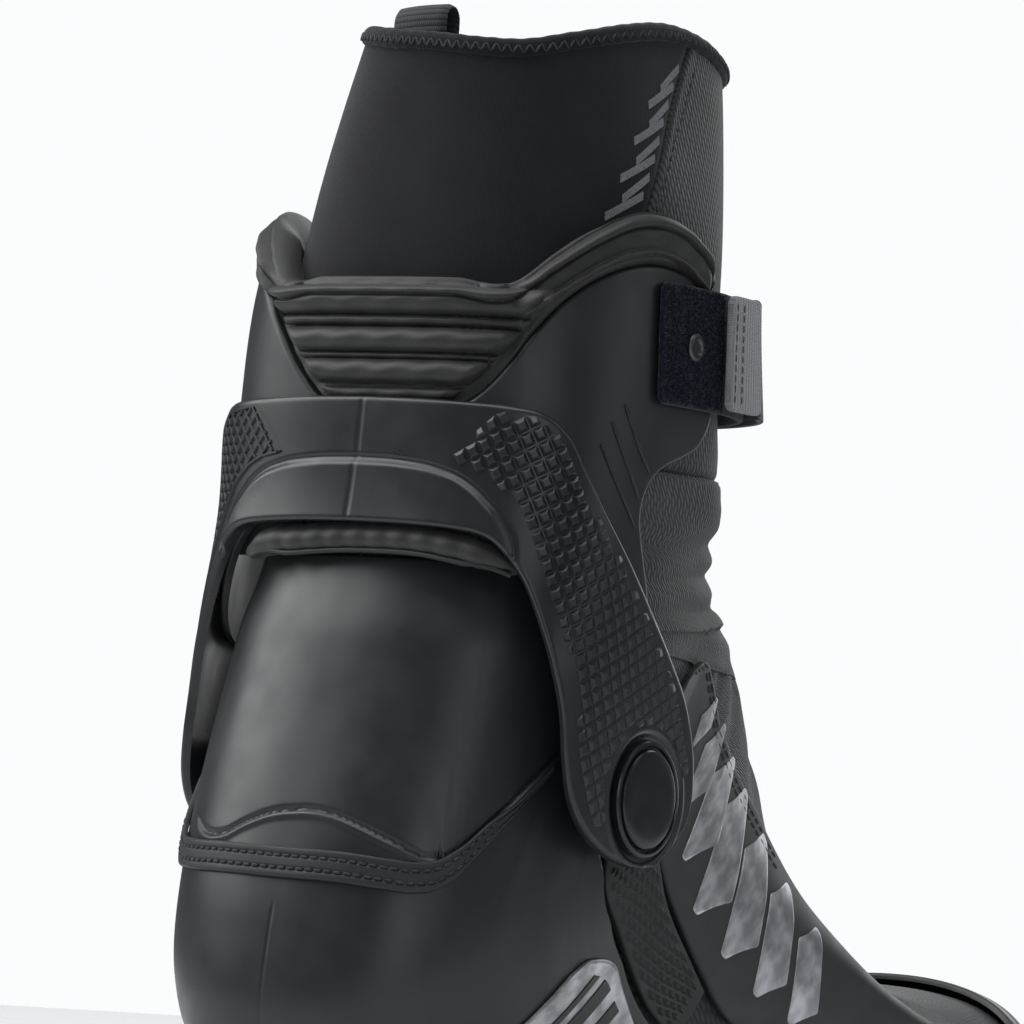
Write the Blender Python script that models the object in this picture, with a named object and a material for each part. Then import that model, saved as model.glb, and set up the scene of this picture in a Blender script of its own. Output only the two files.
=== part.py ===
"""Cross country skate boot, right foot. Millimetres inside the shape functions, metres in the scene.
Row frame: +Z up, toe towards +Y, outer side of the foot +X, z = 0 on the ground, y = 0 under the
ankle pivot."""

import math

import bmesh
import bpy
import numpy as np
from mathutils import Vector
from mathutils.bvhtree import BVHTree

MM = 0.001
PIVOT_Z = 88.0
RIM_REAR_Z = 241.8
LOOP_BEND = 0.0215
UPPER_WALL = (-4.3, -2.4)
OVERLAY = (-0.8, 0.7)
TRIM = (1.4, 2.6)
SHELL = (0.0, 1.8)
FRAME = (2.3, 4.4)
BORE_R = 6.3
PIN_R = 6.0
CAP_R = 11.8
SOLE_CLEAR = 0.5
BAR_Y, BAR_Z, BAR_R = 222.0, 6.2, 2.0
LAST_SHIFT = -5.0

# One row per section: back or bottom point (y, z), front or top point (y, z), half width, where the
# widest line sits between them, squareness at the back and at the front, sideways shift.
SECTIONS = (
    (234, 28, 235, 33, 4, 0.50, 2.2, 2.2, -6),
    (230, 23, 231.5, 41, 20, 0.45, 2.6, 2.2, -6),
    (220, 19.5, 220, 48.5, 33, 0.40, 3.0, 2.2, -5),
    (203, 18, 202, 50.5, 43, 0.39, 3.4, 2.2, -4),
    (178, 18, 178, 51, 48.5, 0.40, 3.6, 2.3, -2),
    (150, 18.5, 150.3, 56, 49, 0.475, 3.6, 2.4, -1),
    (115, 20, 118.7, 70, 46, 0.53, 3.4, 2.4, 0),
    (75, 21.5, 97.2, 97.8, 43.5, 0.48, 3.2, 2.5, 0),
    (30, 23, 85.5, 122, 42, 0.455, 3.0, 2.6, 0),
    (-15, 24, 79.7, 132, 42, 0.47, 2.8, 2.6, 0),
    (-44, 26, 76, 137, 42.5, 0.48, 2.7, 2.6, 0),
    (-54.5, 38, 74, 142, 42.5, 0.48, 2.6, 2.6, 0),
    (-54, 58, 72.5, 148, 42.5, 0.48, 2.6, 2.5, 0),
    (-49, 80, 71, 155, 42, 0.48, 2.6, 2.5, 0),
    (-41.5, 105, 69.5, 164, 41.5, 0.49, 2.6, 2.4, 0),
    (-34.5, 130, 68, 175, 41.5, 0.50, 2.5, 2.4, 0),
    (-31, 155, 67, 188, 41.5, 0.50, 2.4, 2.4, 0),
    (-29, 180, 66.5, 202, 41.5, 0.50, 2.3, 2.3, 0),
)
# Cuff and sleeve: height against half width, rear line, front line, squareness.
CUFF = (
    (60, 46.5, 46.5, -57, 68, 4.5, 2.5, 2.6),
    (88, 46.5, 46.5, -53, 68, 4.5, 2.5, 2.6),
    (110, 46.5, 46.0, -45, 67, 4.5, 2.65, 2.6),
    (125, 46.4, 45.6, -38, 66, 4.3, 2.9, 2.5),
    (140, 46.2, 45.5, -34, 65, 4.0, 3.0, 2.4),
    (166, 45.6, 46.2, -31.5, 63, 3.2, 3.2, 2.2),
    (185, 45.0, 46.8, -30.5, 62, 2.7, 2.9, 2.1),
    (205, 44.0, 45.2, -28.5, 62, 2.5, 2.6, 2.1),
    (222, 43.0, 43.5, -27, 63, 2.5, 2.5, 2.1),
)
SLEEVE = (
    (145, 42.8, 42.4, -29.8, 61.5, 3.4, 3.0, 2.3),
    (166, 42.3, 42.2, -28.3, 60.0, 2.9, 2.9, 2.2),
    (185, 42.0, 41.2, -27.3, 60.0, 2.6, 2.7, 2.1),
    (205, 41.0, 39.3, -26.2, 61.0, 2.4, 2.5, 2.1),
    (226, 37.0, 34.6, -24.0, 64.5, 2.4, 2.4, 2.2),
    (255, 31.0, 26.2, -20.8, 67.5, 2.4, 2.4, 2.2),
)
# How far the upper half of each row of the form narrows towards the instep: row against share of the width.
INSTEP = ((2, 3, 4, 5, 6, 7, 8, 9, 10, 11, 13), (0, 0.12, 0.25, 0.285, 0.345, 0.25, 0.12, 0.05, 0.05, 0.08, 0.04))
# Height of the sleeve's rim: degrees round from the rear against z.
RIM = (
    (-180, 244), (-150, 244.6), (-116, 246.8), (-104, 248.4), (-87, 249), (-66, 247.2), (-45, 245), (-23, 243.1),
    (0, 241.8), (20, 240.9), (36, 241), (50, 243.5), (66, 246.9), (87, 249.2), (104, 248.6), (116, 246.8),
    (150, 244.6), (180, 244),
)
# Plan outline of the sole: y against half width.
SOLE = (
    (-55.5, 12), (-53, 22), (-47, 31), (-35, 37), (-15, 39.5), (10, 40), (40, 39.5), (75, 41.5),
    (115, 46), (150, 49), (178, 48.5), (203, 43), (220, 34), (230, 23), (235.5, 10),
)
# Sideways edge lines of the cuff parts: degrees round from the rear, lower height, upper height.
FRAME_EDGE = (
    (0, 139, 165.5), (12, 139, 165), (26, 138.5, 164.5), (36, 136, 164), (42, 130, 163.5), (47, 121, 161),
    (50, 116, 156), (54, 109, 149), (58, 99, 143), (61, 88, 140), (65, 83, 135), (71, 78, 129),
    (79, 75, 122), (87, 74, 115), (94, 75.5, 108), (98, 79.5, 99), (100.5, 85, 93),
)
FLAP_EDGE = (
    (0, 141, 162), (20, 141, 163.5), (27, 140, 165), (33, 138, 171), (40, 136, 180), (46, 134, 186),
    (53, 134, 191), (60, 134, 194), (67, 135.5, 195.7), (69.5, 140, 196), (71, 151, 196), (76, 155.5, 196),
    (83, 157.8, 196), (90, 160.5, 194.5), (95.5, 165, 188.5), (98, 171.5, 183.5),
)
PAD_TOP = (
    (0, 189), (20, 189), (35, 189), (43, 195), (52, 201), (62, 205.5), (76, 206), (88, 202), (98, 196),
)


def clear_scene():
    for item in list(bpy.data.objects):
        bpy.data.objects.remove(item, do_unlink=True)


def curve(x, xs, ys):
    """A smooth line through the points, held level beyond both ends."""
    xs, ys = np.asarray(xs, float), np.asarray(ys, float)
    slope = np.gradient(ys, xs)
    x = np.clip(np.asarray(x, float), xs[0], xs[-1])
    i = np.clip(np.searchsorted(xs, x) - 1, 0, len(xs) - 2)
    h = xs[i + 1] - xs[i]
    u = (x - xs[i]) / h
    start = (1 + 2 * u) * (1 - u) ** 2 * ys[i] + u * (1 - u) ** 2 * h * slope[i]
    return start + u * u * (3 - 2 * u) * ys[i + 1] + u * u * (u - 1) * h * slope[i + 1]


def reach(t, n):
    return (np.abs(np.sin(t)) ** n + np.abs(np.cos(t)) ** n) ** (-1 / n)


def foot(t, s):
    """Outer form of the lower boot. t runs round a section from its back, s from toe to ankle."""
    t, s = np.broadcast_arrays(np.asarray(t, float), np.asarray(s, float))
    table = np.array(SECTIONS, float)
    rows = np.arange(len(table))
    by, bz, fy, fz, w, m, nb, nf, cx = (curve(s, rows, table[:, k]) for k in range(9))
    c = np.cos(t)
    r = reach(t, nb + (nf - nb) * (0.5 - 0.5 * c))
    rise = np.clip(-c / 0.6, 0, 1)
    slim = np.interp(s, INSTEP[0], INSTEP[1]) * rise * rise * (3 - 2 * rise)
    k = np.where(c > 0, m * (1 - c * r), m - (1 - m) * c * r)
    return np.stack([cx + w * r * np.sin(t) * (1 - slim), by + (fy - by) * k, bz + (fz - bz) * k], -1)


def ring_at(table, t, z, off):
    """Ring at height z; rows give outer and inner half width, rear, front and three corner exponents."""
    t, z = np.broadcast_arrays(np.asarray(t, float), np.asarray(z, float))
    k = np.array(table, float)
    outer, inner, rear, front, n_out, n_in, n_front = (curve(z, k[:, 0], k[:, i]) for i in range(1, 8))
    is_inner = np.sin(t) < 0
    w = np.clip(-np.cos(t) / 0.8, 0, 1)
    w = w * w * (3 - 2 * w)
    r = reach(t, np.where(is_inner, n_in, n_out) * (1 - w) + n_front * w)
    mid, half = (rear + front) / 2, (front - rear) / 2
    return np.stack([(np.where(is_inner, inner, outer) + off) * r * np.sin(t),
                     mid - (half + off) * r * np.cos(t), z], -1)


def foot_off(t, s, off):
    """Foot form moved out along its own normal."""
    e = 1e-3
    along_t = foot(t + e, s) - foot(t - e, s)
    along_s = foot(t, np.minimum(s + e, 17)) - foot(t, np.maximum(s - e, 0))
    n = np.cross(along_t, along_s)
    n = n / np.linalg.norm(n, axis=-1, keepdims=True)
    return foot(t, s) + n * np.asarray(off, float)[..., None]


def cuff_off(t, z, off):
    return ring_at(CUFF, t, z, off)


def sleeve_off(t, z, off):
    return ring_at(SLEEVE, t, z, off)


def material(name, colour, rough, metallic):
    made = bpy.data.materials.new(name)
    made.use_nodes = True
    shader = made.node_tree.nodes["Principled BSDF"]
    shader.inputs["Base Color"].default_value = (*colour, 1)
    shader.inputs["Roughness"].default_value = rough
    shader.inputs["Metallic"].default_value = metallic
    made.diffuse_color = (*colour, 1)
    return made


def place(name, points, faces, colour, rough=0.6, metallic=0.0, origin=None):
    mesh = bpy.data.meshes.new(name)
    points = np.asarray(points, float) * MM
    at = np.zeros(3) if origin is None else np.asarray(origin, float) * MM
    mesh.from_pydata((points - at).tolist(), [], [list(map(int, face)) for face in faces])
    made = bpy.data.objects.new(name, mesh)
    made.location = at
    bpy.context.scene.collection.objects.link(made)
    work = bmesh.new()
    work.from_mesh(mesh)
    bmesh.ops.remove_doubles(work, verts=work.verts, dist=1e-6)
    bmesh.ops.recalc_face_normals(work, faces=work.faces)
    work.to_mesh(mesh)
    work.free()
    mesh.materials.append(material(name, colour, rough, metallic))
    return made


def two_skins(outer, inner, wrap=False, cap=False):
    """Points and faces of the closed solid between two matching grids of points."""
    rows, cols, _ = outer.shape
    points = np.concatenate([outer.reshape(-1, 3), inner.reshape(-1, 3)])
    half = rows * cols
    faces = []
    last = cols if wrap else cols - 1
    for i in range(rows - 1):
        for j in range(last):
            a, b = i * cols + j, i * cols + (j + 1) % cols
            c, d = b + cols, a + cols
            faces += [(a, b, c, d), (half + d, half + c, half + b, half + a)]
    for i in (0, rows - 1):
        if cap and i == 0:
            faces.append([j for j in range(cols)][::-1])
            faces.append([half + j for j in range(cols)])
            continue
        for j in range(last):
            a, b = i * cols + j, i * cols + (j + 1) % cols
            face = (b, a, half + a, half + b)
            faces.append(face if i == 0 else face[::-1])
    if not wrap:
        for j in (0, cols - 1):
            for i in range(rows - 1):
                a, b = i * cols + j, (i + 1) * cols + j
                face = (a, b, half + b, half + a)
                faces.append(face if j == 0 else face[::-1])
    return points, faces


def skin(name, form, t, s, inner, outer, colour, wrap=False, cap=False, **look):
    t, s = np.broadcast_arrays(np.asarray(t, float), np.asarray(s, float))
    inner = np.broadcast_to(np.asarray(inner, float), t.shape)
    outer = np.broadcast_to(np.asarray(outer, float), t.shape)
    points, faces = two_skins(form(t, s, outer), form(t, s, inner), wrap, cap)
    return place(name, points, faces, colour, **look)


def height_row(t, z_of, low, high):
    """For each t, the s at which the foot form reaches the height z_of(y)."""
    low, high = np.full(t.shape, float(low)), np.full(t.shape, float(high))
    for _ in range(30):
        mid = (low + high) / 2
        at = foot(t, mid)
        under = at[..., 2] < z_of(at[..., 1])
        low, high = np.where(under, mid, low), np.where(under, high, mid)
    return (low + high) / 2


def ankle_cut(y):
    return 126.0 - (y + 36.0) * 0.042


def gaiter_start(y):
    return ankle_cut(y) + 1.2


def radians(*values):
    return np.radians(np.array(values, float))


def blend_rows(low, high, count):
    w = np.linspace(0, 1, count)[:, None]
    return low[None, :] * (1 - w) + high[None, :] * w


def box(name, centre, size, colour, turn=0.0, origin=None, **look):
    """A box, turned about X by turn degrees."""
    corners = np.array([(x, y, z) for x in (-1, 1) for y in (-1, 1) for z in (-1, 1)], float)
    corners = corners * np.array(size, float) / 2
    a = math.radians(turn)
    spin = np.array([[1, 0, 0], [0, math.cos(a), -math.sin(a)], [0, math.sin(a), math.cos(a)]])
    points = corners @ spin.T + np.array(centre, float)
    faces = [(0, 1, 3, 2), (4, 6, 7, 5), (0, 4, 5, 1), (2, 3, 7, 6), (0, 2, 6, 4), (1, 5, 7, 3)]
    return place(name, points, faces, colour, origin=origin, **look)


def turned(name, profile, centre, colour, sides=32, origin=None, **look):
    """A solid of revolution about X: profile is (x, radius) pairs from axis to axis."""
    ring = [(x, r) for x, r in profile if r > 0]
    points, faces = [], []
    for x, r in ring:
        for k in range(sides):
            a = 2 * math.pi * k / sides
            points.append((x, centre[0] + r * math.cos(a), centre[1] + r * math.sin(a)))
    for i in range(len(ring) - 1):
        for k in range(sides):
            a, b = i * sides + k, i * sides + (k + 1) % sides
            faces.append((a, b, b + sides, a + sides))
    faces.append(list(range(sides))[::-1])
    faces.append([(len(ring) - 1) * sides + k for k in range(sides)])
    return place(name, points, faces, colour, origin=origin, **look)


def cut(target, cutter):
    step = target.modifiers.new("cut_" + cutter.name, "BOOLEAN")
    step.operation = "DIFFERENCE"
    step.solver = "EXACT"
    step.object = cutter
    cutter.hide_render = True
    cutter.display_type = "WIRE"


def slab(name, ys, shape, top, bottom, colour, across, inset=0.0, **look):
    """A plate between two height fields over the sole outline; across runs -1 to 1."""
    across = np.asarray(across, float)
    grid_y = np.repeat(np.asarray(ys, float)[:, None], len(across), axis=1)
    half = shape(grid_y) - inset
    grid_x = centre_of(grid_y) + half * across[None, :]
    high = np.stack([grid_x, grid_y, top(grid_x, grid_y)], -1)
    low = np.stack([grid_x, grid_y, bottom(grid_x, grid_y)], -1)
    points, faces = two_skins(high, low)
    return place(name, points, faces, colour, **look)


def centre_of(y):
    return curve(y, (-55, 60, 115, 150, 178, 203, 236), (0, 0, -0.5, -1.2, -2.2, -4, -6))


def sole_half(y):
    table = np.array(SOLE, float)
    return curve(y, table[:, 0], table[:, 1])


def edge_value(table, degrees, column):
    k = np.array(table, float)
    return np.interp(np.abs(degrees), k[:, 0], k[:, column])


def mirrored_columns(table):
    k = np.array(table, float)[:, 0]
    return np.concatenate([-k[:0:-1], k])


def make_upper():
    t = np.linspace(0, 2 * math.pi, 28, endpoint=False)
    front = np.array([0, 0.5, 1.1, 1.8, 2.6, 3.5, 4.3, 4.95])
    skin("vamp", foot_off, t[None, :], front[:, None] + 0 * t, *UPPER_WALL, (0.055, 0.057, 0.06),
         wrap=True, cap=True, rough=0.85)
    top = height_row(t, ankle_cut, 5.0, 16.5)
    steps = np.array([0, 0.16, 0.31, 0.44, 0.53, 0.6, 0.66, 0.75, 0.86, 1])
    s = 5.0 + (top[None, :] - 5.0) * steps[:, None]
    skin("upper", foot_off, t[None, :], s, *UPPER_WALL, (0.055, 0.057, 0.06), wrap=True, rough=0.85)


def make_gaiter():
    t = np.linspace(0, 2 * math.pi, 28, endpoint=False)
    low = height_row(t, gaiter_start, 5.0, 16.9)
    high = height_row(t, lambda y: 148.6 + 0 * y, 5.0, 17.0)
    s = blend_rows(low, high, 3)
    skin("ankle_gaiter", foot_off, t[None, :], s, -3.4, -1.8, (0.05, 0.052, 0.055), wrap=True, rough=0.9)


def make_counter():
    deg = np.array([-80, -74, -67, -60, -52, -44, -35, -25, -12, 0, 12, 25, 35, 44, 52, 60, 67, 74, 80.0])
    t = np.radians(deg)
    front = np.interp(np.abs(deg), (0, 45, 54, 59.5, 67.5, 74.5, 79, 80), (8.2, 8.12, 8.14, 8.5, 9.0, 9.62, 10.3, 10.6))
    low = height_row(t, lambda y: 35.5 + 0 * y, 8.0, 14)
    low = np.maximum(low, front)
    high = height_row(t, lambda y: ankle_cut(y) - 1.5, 8, 16.5)
    skin("heel_counter", foot_off, t[None, :], blend_rows(low, high, 10), -0.2, 0.9,
         (0.035, 0.04, 0.04), rough=0.35)


def make_trim():
    deg = np.array([-62, -58, -52, -44, -35, -22, -10, 0, 10, 22, 35, 44, 52, 58, 62.0])
    t = np.radians(deg)
    base = np.interp(np.abs(deg), (0, 35, 48, 56, 62), (67, 67, 70, 77, 86))
    low = np.array([height_row(t[i:i + 1], lambda y, z=base[i]: z + 0 * y, 8, 16)[0] for i in range(len(t))])
    high = np.array([height_row(t[i:i + 1], lambda y, z=base[i]: z + 5.5 + 0 * y, 8, 16)[0]
                     for i in range(len(t))])
    skin("heel_trim", foot_off, t[None, :], blend_rows(low, high, 3), *TRIM, (0.03, 0.032, 0.034), rough=0.7)


def patch_on_side(name, rows, colour, side, levels, across=7, **look):
    """rows: (s, t low, t high) in degrees, for the outer side; side -1 gives the inner one."""
    k = np.array(rows, float)
    w = np.linspace(0, 1, across)[None, :]
    t = np.radians(k[:, 1:2] * (1 - w) + k[:, 2:3] * w) * side
    s = np.repeat(k[:, 0:1], across, axis=1)
    skin(name, foot_off, t, s, *levels, colour, **look)


def make_side_panels():
    rows = ((11.3, 106, 114), (10.8, 103, 122), (10.0, 95, 120.5), (9.2, 87, 116), (8.6, 79, 113),
            (8.1, 70, 110.5), (7.6, 61, 107.5), (7.0, 57, 103), (6.3, 55, 99.5), (5.5, 54, 97.5), (4.6, 54, 95.5),
            (3.9, 54, 94), (3.3, 54, 92))
    grip = ((10.9, 86, 100), (10.2, 80, 94), (9.5, 75.5, 88), (8.9, 68, 81), (8.4, 60, 73), (8.0, 54.5, 66))
    for side, word in ((1, "outer"), (-1, "inner")):
        patch_on_side(word + "_side_panel", rows, (0.05, 0.052, 0.055), side, OVERLAY, rough=0.5)
        patch_on_side(word + "_grip", grip, (0.03, 0.03, 0.032), side, OVERLAY, across=4, rough=0.7)


def make_badge():
    rows = ((9.66, 49, 64.5), (9.44, 46.2, 67), (9.2, 45, 67), (8.9, 44.2, 63), (8.65, 44.2, 59), (8.38, 45.4, 53.4))
    patch_on_side("heel_badge", rows, (0.55, 0.56, 0.58), 1, TRIM, across=4, rough=0.3, metallic=0.8)


def make_toe_cap():
    t = np.radians(np.linspace(58, 302, 19))
    high = 2.95 - 0.5 * np.cos(t - math.pi) ** 2
    s = blend_rows(np.full(t.shape, 0.05), high, 7)
    skin("toe_cap", foot_off, t[None, :], s, *OVERLAY, (0.03, 0.031, 0.033), rough=0.5)


def make_inner_floor():
    t = np.radians(np.linspace(-52, 52, 9))[None, :]
    s = np.linspace(1.9, 10.1, 9)[:, None]
    skin("lasting_board", foot_off, t, s, -7.4, -6.1, (0.25, 0.2, 0.14), rough=0.9)
    skin("insole", foot_off, t, s, -11.2, -8.3, (0.12, 0.12, 0.13), rough=0.9)


def make_tongue():
    t = np.radians(np.linspace(142, 218, 8))[None, :]
    s = np.linspace(5.6, 10.0, 8)[:, None]
    skin("tongue", foot_off, t, s, -10.6, -8.6, (0.06, 0.06, 0.065), rough=0.9)


def tube(name, path, radius, colour, sides=6, **look):
    path = np.asarray(path, float)
    ahead = np.gradient(path, axis=0)
    ahead /= np.linalg.norm(ahead, axis=1, keepdims=True)
    up = np.cross(ahead, (0.0, 0.6, 0.8))
    up /= np.linalg.norm(up, axis=1, keepdims=True)
    out = np.cross(ahead, up)
    a = np.arange(sides) * 2 * math.pi / sides
    ring = np.cos(a)[None, :, None] * up[:, None, :] + np.sin(a)[None, :, None] * out[:, None, :]
    points = (path[:, None, :] + radius * ring).reshape(-1, 3)
    faces = []
    for i in range(len(path) - 1):
        for j in range(sides):
            b = (j + 1) % sides
            faces.append((i * sides + j, i * sides + b, (i + 1) * sides + b, (i + 1) * sides + j))
    faces.append(list(range(sides))[::-1])
    faces.append([(len(path) - 1) * sides + j for j in range(sides)])
    return place(name, points, faces, colour, **look)


def make_laces():
    turns = 6
    w = np.linspace(0, turns, turns * 4 + 1)
    swing = np.sin(w * math.pi + 0.01)
    t = math.pi + radians(21.0)[0] * np.cos(w * math.pi)
    s = 5.9 + 1.75 * w / turns + 0 * swing
    tube("laces", foot_off(t, s, np.full(t.shape, -5.9)), 1.1, (0.3, 0.31, 0.33), sides=5, rough=0.8)


def tongue_frame(s, off):
    """Point and slope (degrees about X) on the instep line."""
    here = foot_off(math.pi, s, off)
    ahead = foot_off(math.pi, s - 0.1, off)
    return here, math.degrees(math.atan2(ahead[2] - here[2], ahead[1] - here[1]))


def make_lace_lock():
    at, slope = tongue_frame(8.1, -6.3)
    box("lace_lock", at, (13, 7, 3.0), (0.08, 0.08, 0.085), turn=slope, rough=0.4)
    a = math.radians(slope)
    back = np.array([0, -math.cos(a), -math.sin(a)])
    centre = at + back * 6.8 + np.array([0, math.sin(a), -math.cos(a)]) * 1.2
    box("lace_lock_button", centre, (6, 3.2, 2.4), (0.5, 0.12, 0.05), turn=slope, origin=centre, rough=0.4)


def make_zip():
    t = np.radians(np.linspace(175.2, 184.8, 3))[None, :]
    s = np.linspace(5.3, 7.9, 8)[:, None]
    skin("zip_chain", foot_off, t, s, -1.6, 0.0, (0.1, 0.1, 0.105), rough=0.4)
    top = foot_off(math.pi, 7.55, 2.9)
    # The slider runs round the middle of the instep's hollow curve.
    slope = 90 + math.degrees(math.atan2(top[2] - 146.55, top[1] - 181.24))
    box("zip_slider", top, (7, 9, 3.0), (0.32, 0.33, 0.35), turn=slope, rough=0.3, metallic=0.9)
    a = math.radians(slope)
    ahead = np.array([0, math.cos(a), math.sin(a)])
    out = np.array([0, -math.sin(a), math.cos(a)])
    pivot = top + out * 2.7 + ahead * 1.0
    box("zip_pull", pivot + ahead * 8.0, (6, 17, 1.6), (0.12, 0.12, 0.13), turn=slope, origin=pivot,
        rough=0.5)


def foot_tree():
    t = np.linspace(-math.pi / 2 - 0.35, math.pi / 2 + 0.35, 41)
    s = np.linspace(0, 12.5, 76)
    grid = foot_off(t[None, :], s[:, None], 1.3)
    points = [Vector(p) for p in grid.reshape(-1, 3)]
    cols = len(t)
    faces = []
    for i in range(len(s) - 1):
        for j in range(cols - 1):
            a = i * cols + j
            faces.append((a, a + 1, a + 1 + cols, a + cols))
    return BVHTree.FromPolygons(points, faces)


def rocker(y):
    return np.maximum(0, y - 150) ** 2 / 1100


def sole_line(y):
    """Underside of the chassis."""
    return 13.5 + 0.36 * rocker(y)


def make_chassis():
    tree = foot_tree()

    def top(x, y):
        z = np.full(x.shape, np.nan)
        for index in np.ndindex(x.shape):
            hit = tree.ray_cast(Vector((x[index], y[index], -20)), Vector((0, 0, 1)))
            if hit[0] is not None:
                z[index] = hit[0].z - SOLE_CLEAR
        for row in z:
            good = np.flatnonzero(~np.isnan(row))
            row[:] = np.interp(np.arange(len(row)), good, row[good])
        return np.minimum(z, 32.0)

    ys = np.concatenate([[-54.0, -51, -46, -39, -30], np.arange(-15, 200, 19.5), [205, 215, 223, 229, 233]])
    across = (-1, -0.93, -0.82, -0.62, -0.32, 0, 0.32, 0.62, 0.82, 0.93, 1)
    slab("chassis", ys, sole_half, top, lambda x, y: sole_line(y), (0.02, 0.021, 0.023), across, inset=0.6,
         rough=0.35)


def tread(y, x, grooves, depth):
    """Ground line with lengthways grooves; each groove is (from, to) across the sole."""
    z = rocker(y)
    for low, high in grooves:
        z = np.where((x > low) & (x < high), z + depth, z)
    return z


def make_soles():
    cuts = ((-1, -0.97, -0.56, -0.555, -0.40, -0.395, 0, 0.395, 0.40, 0.555, 0.56, 0.97, 1))
    colour = (0.035, 0.035, 0.037)

    def under(x, y):
        part = (x - centre_of(y)) / sole_half(y)
        return tread(y, part, ((-0.5575, -0.3975), (0.3975, 0.5575)), 3.0)

    def over(x, y):
        return sole_line(y) - 0.4

    heel = [-55.0, -52, -46, -38, -25, -5, 15, 30]
    slab("heel_sole", heel, sole_half, over, under, colour, cuts, rough=0.85)
    front = [72, 95, 120, 140, 150, 165, 180, 195, 208, 218, 226, 231, 235]
    sole = slab("front_sole", front, sole_half, over, under, colour, cuts, rough=0.85)
    recess = box("recess_cutter", (LAST_SHIFT, 226, 8), (39, 28, 40), (0.5, 0.5, 0.5))
    cut(sole, recess)


def make_toe_hold():
    profile = [(-18.8, 14.6), (-18.8, 6.4), (-15.6, 6.4), (-15.6, 12.4), (15.6, 12.4), (15.6, 6.4),
               (18.8, 6.4), (18.8, 14.6)]
    points = [(LAST_SHIFT + x, y, z) for y in (213.5, 229.5) for x, z in profile]
    n = len(profile)
    faces = [list(range(n)), [n + k for k in range(n)][::-1]]
    faces += [(k, (k + 1) % n, n + (k + 1) % n, n + k) for k in range(n)]
    place("toe_bar_bracket", points, faces, (0.3, 0.3, 0.31), rough=0.4, metallic=0.8)
    turned("toe_bar", [(LAST_SHIFT - 15.3, BAR_R), (LAST_SHIFT + 15.3, BAR_R)], (BAR_Y, 9.4),
           (0.62, 0.62, 0.63), sides=24, rough=0.25, metallic=1.0)


def make_cuff_frame():
    columns = mirrored_columns(FRAME_EDGE)
    t = np.radians(columns)
    low, high = edge_value(FRAME_EDGE, columns, 1), edge_value(FRAME_EDGE, columns, 2)
    frame = skin("cuff_frame", cuff_off, t[None, :], blend_rows(low, high, 5), *FRAME, (0.035, 0.036, 0.039),
                 rough=0.3)
    for side in (-1, 1):
        bore = turned("bore_cutter" + ("_o" if side > 0 else "_i"), [(side * 60, BORE_R), (side * 44, BORE_R)],
                      (0, PIVOT_Z), (0.5, 0.5, 0.5), sides=40)
        cut(frame, bore)


def make_cuff_shell():
    columns = mirrored_columns(FLAP_EDGE)
    t = np.radians(columns)
    low, high = edge_value(FLAP_EDGE, columns, 1), edge_value(FLAP_EDGE, columns, 2)
    skin("cuff_shell", cuff_off, t[None, :], blend_rows(low, high, 4), *SHELL, (0.035, 0.036, 0.038),
         rough=0.35)


def make_collar_pad():
    deg = np.array([-91, -87, -82, -75, -66, -58, -50, -42, -35, -26, -16, -5])
    deg = np.concatenate([deg, -deg[::-1]])
    t = np.radians(deg)[None, :]
    shell_top, top = edge_value(FLAP_EDGE, deg, 2), edge_value(PAD_TOP, deg, 1)
    rows = [150.5 + 0 * top, 164 + 0 * top, shell_top - 1, shell_top + 0.9, shell_top + 2.2]
    rows[1] = np.minimum(rows[1], shell_top - 4)
    rows[0] = np.minimum(rows[0], rows[1] - 4)
    rows[0] = np.maximum(rows[0], edge_value(FLAP_EDGE, deg, 1) + 1.5)
    rows[1] = (rows[0] + rows[2]) / 2
    rows += [top - 3, top - 1, top]
    outs = [-0.8, -0.8, -0.8, -0.8, 1.8, 2.7, 2.2, -0.2]
    z = np.array(rows)
    out = np.repeat(np.array(outs)[:, None], len(deg), axis=1)
    inner = sleeve_off(t, z, 0.8)
    outer = cuff_off(t, z, out)
    points, faces = two_skins(outer, inner)
    place("collar_pad", points, faces, (0.1, 0.1, 0.092), rough=0.9)


def make_lower_roll():
    deg = np.linspace(-39, 39, 13)
    t = np.radians(deg)[None, :]
    high = np.minimum(138.3, edge_value(FRAME_EDGE, deg, 1) - 0.7)
    z = np.array([high - 7.2 + 7.2 * k for k in (0, 0.2, 0.5, 0.8, 1.0)])
    bulge = np.array([0.2, 1.9, 2.7, 2.3, 0.8])[:, None] + 0 * t
    points, faces = two_skins(cuff_off(t, z, bulge), cuff_off(t, z, -1.2))
    place("lower_roll", points, faces, (0.05, 0.05, 0.052), rough=0.9)


def rim(t):
    """Height of the sleeve's upper edge round the leg."""
    k = np.array(RIM, float)
    return curve((np.degrees(t) + 180.0) % 360.0 - 180.0, k[:, 0], k[:, 1])


def seam(z):
    """Degrees round from the rear where the sleeve meets its front panel."""
    return np.interp(z, (150, 190, 206, 225, 244), (66, 68, 72, 82.7, 97))


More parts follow.
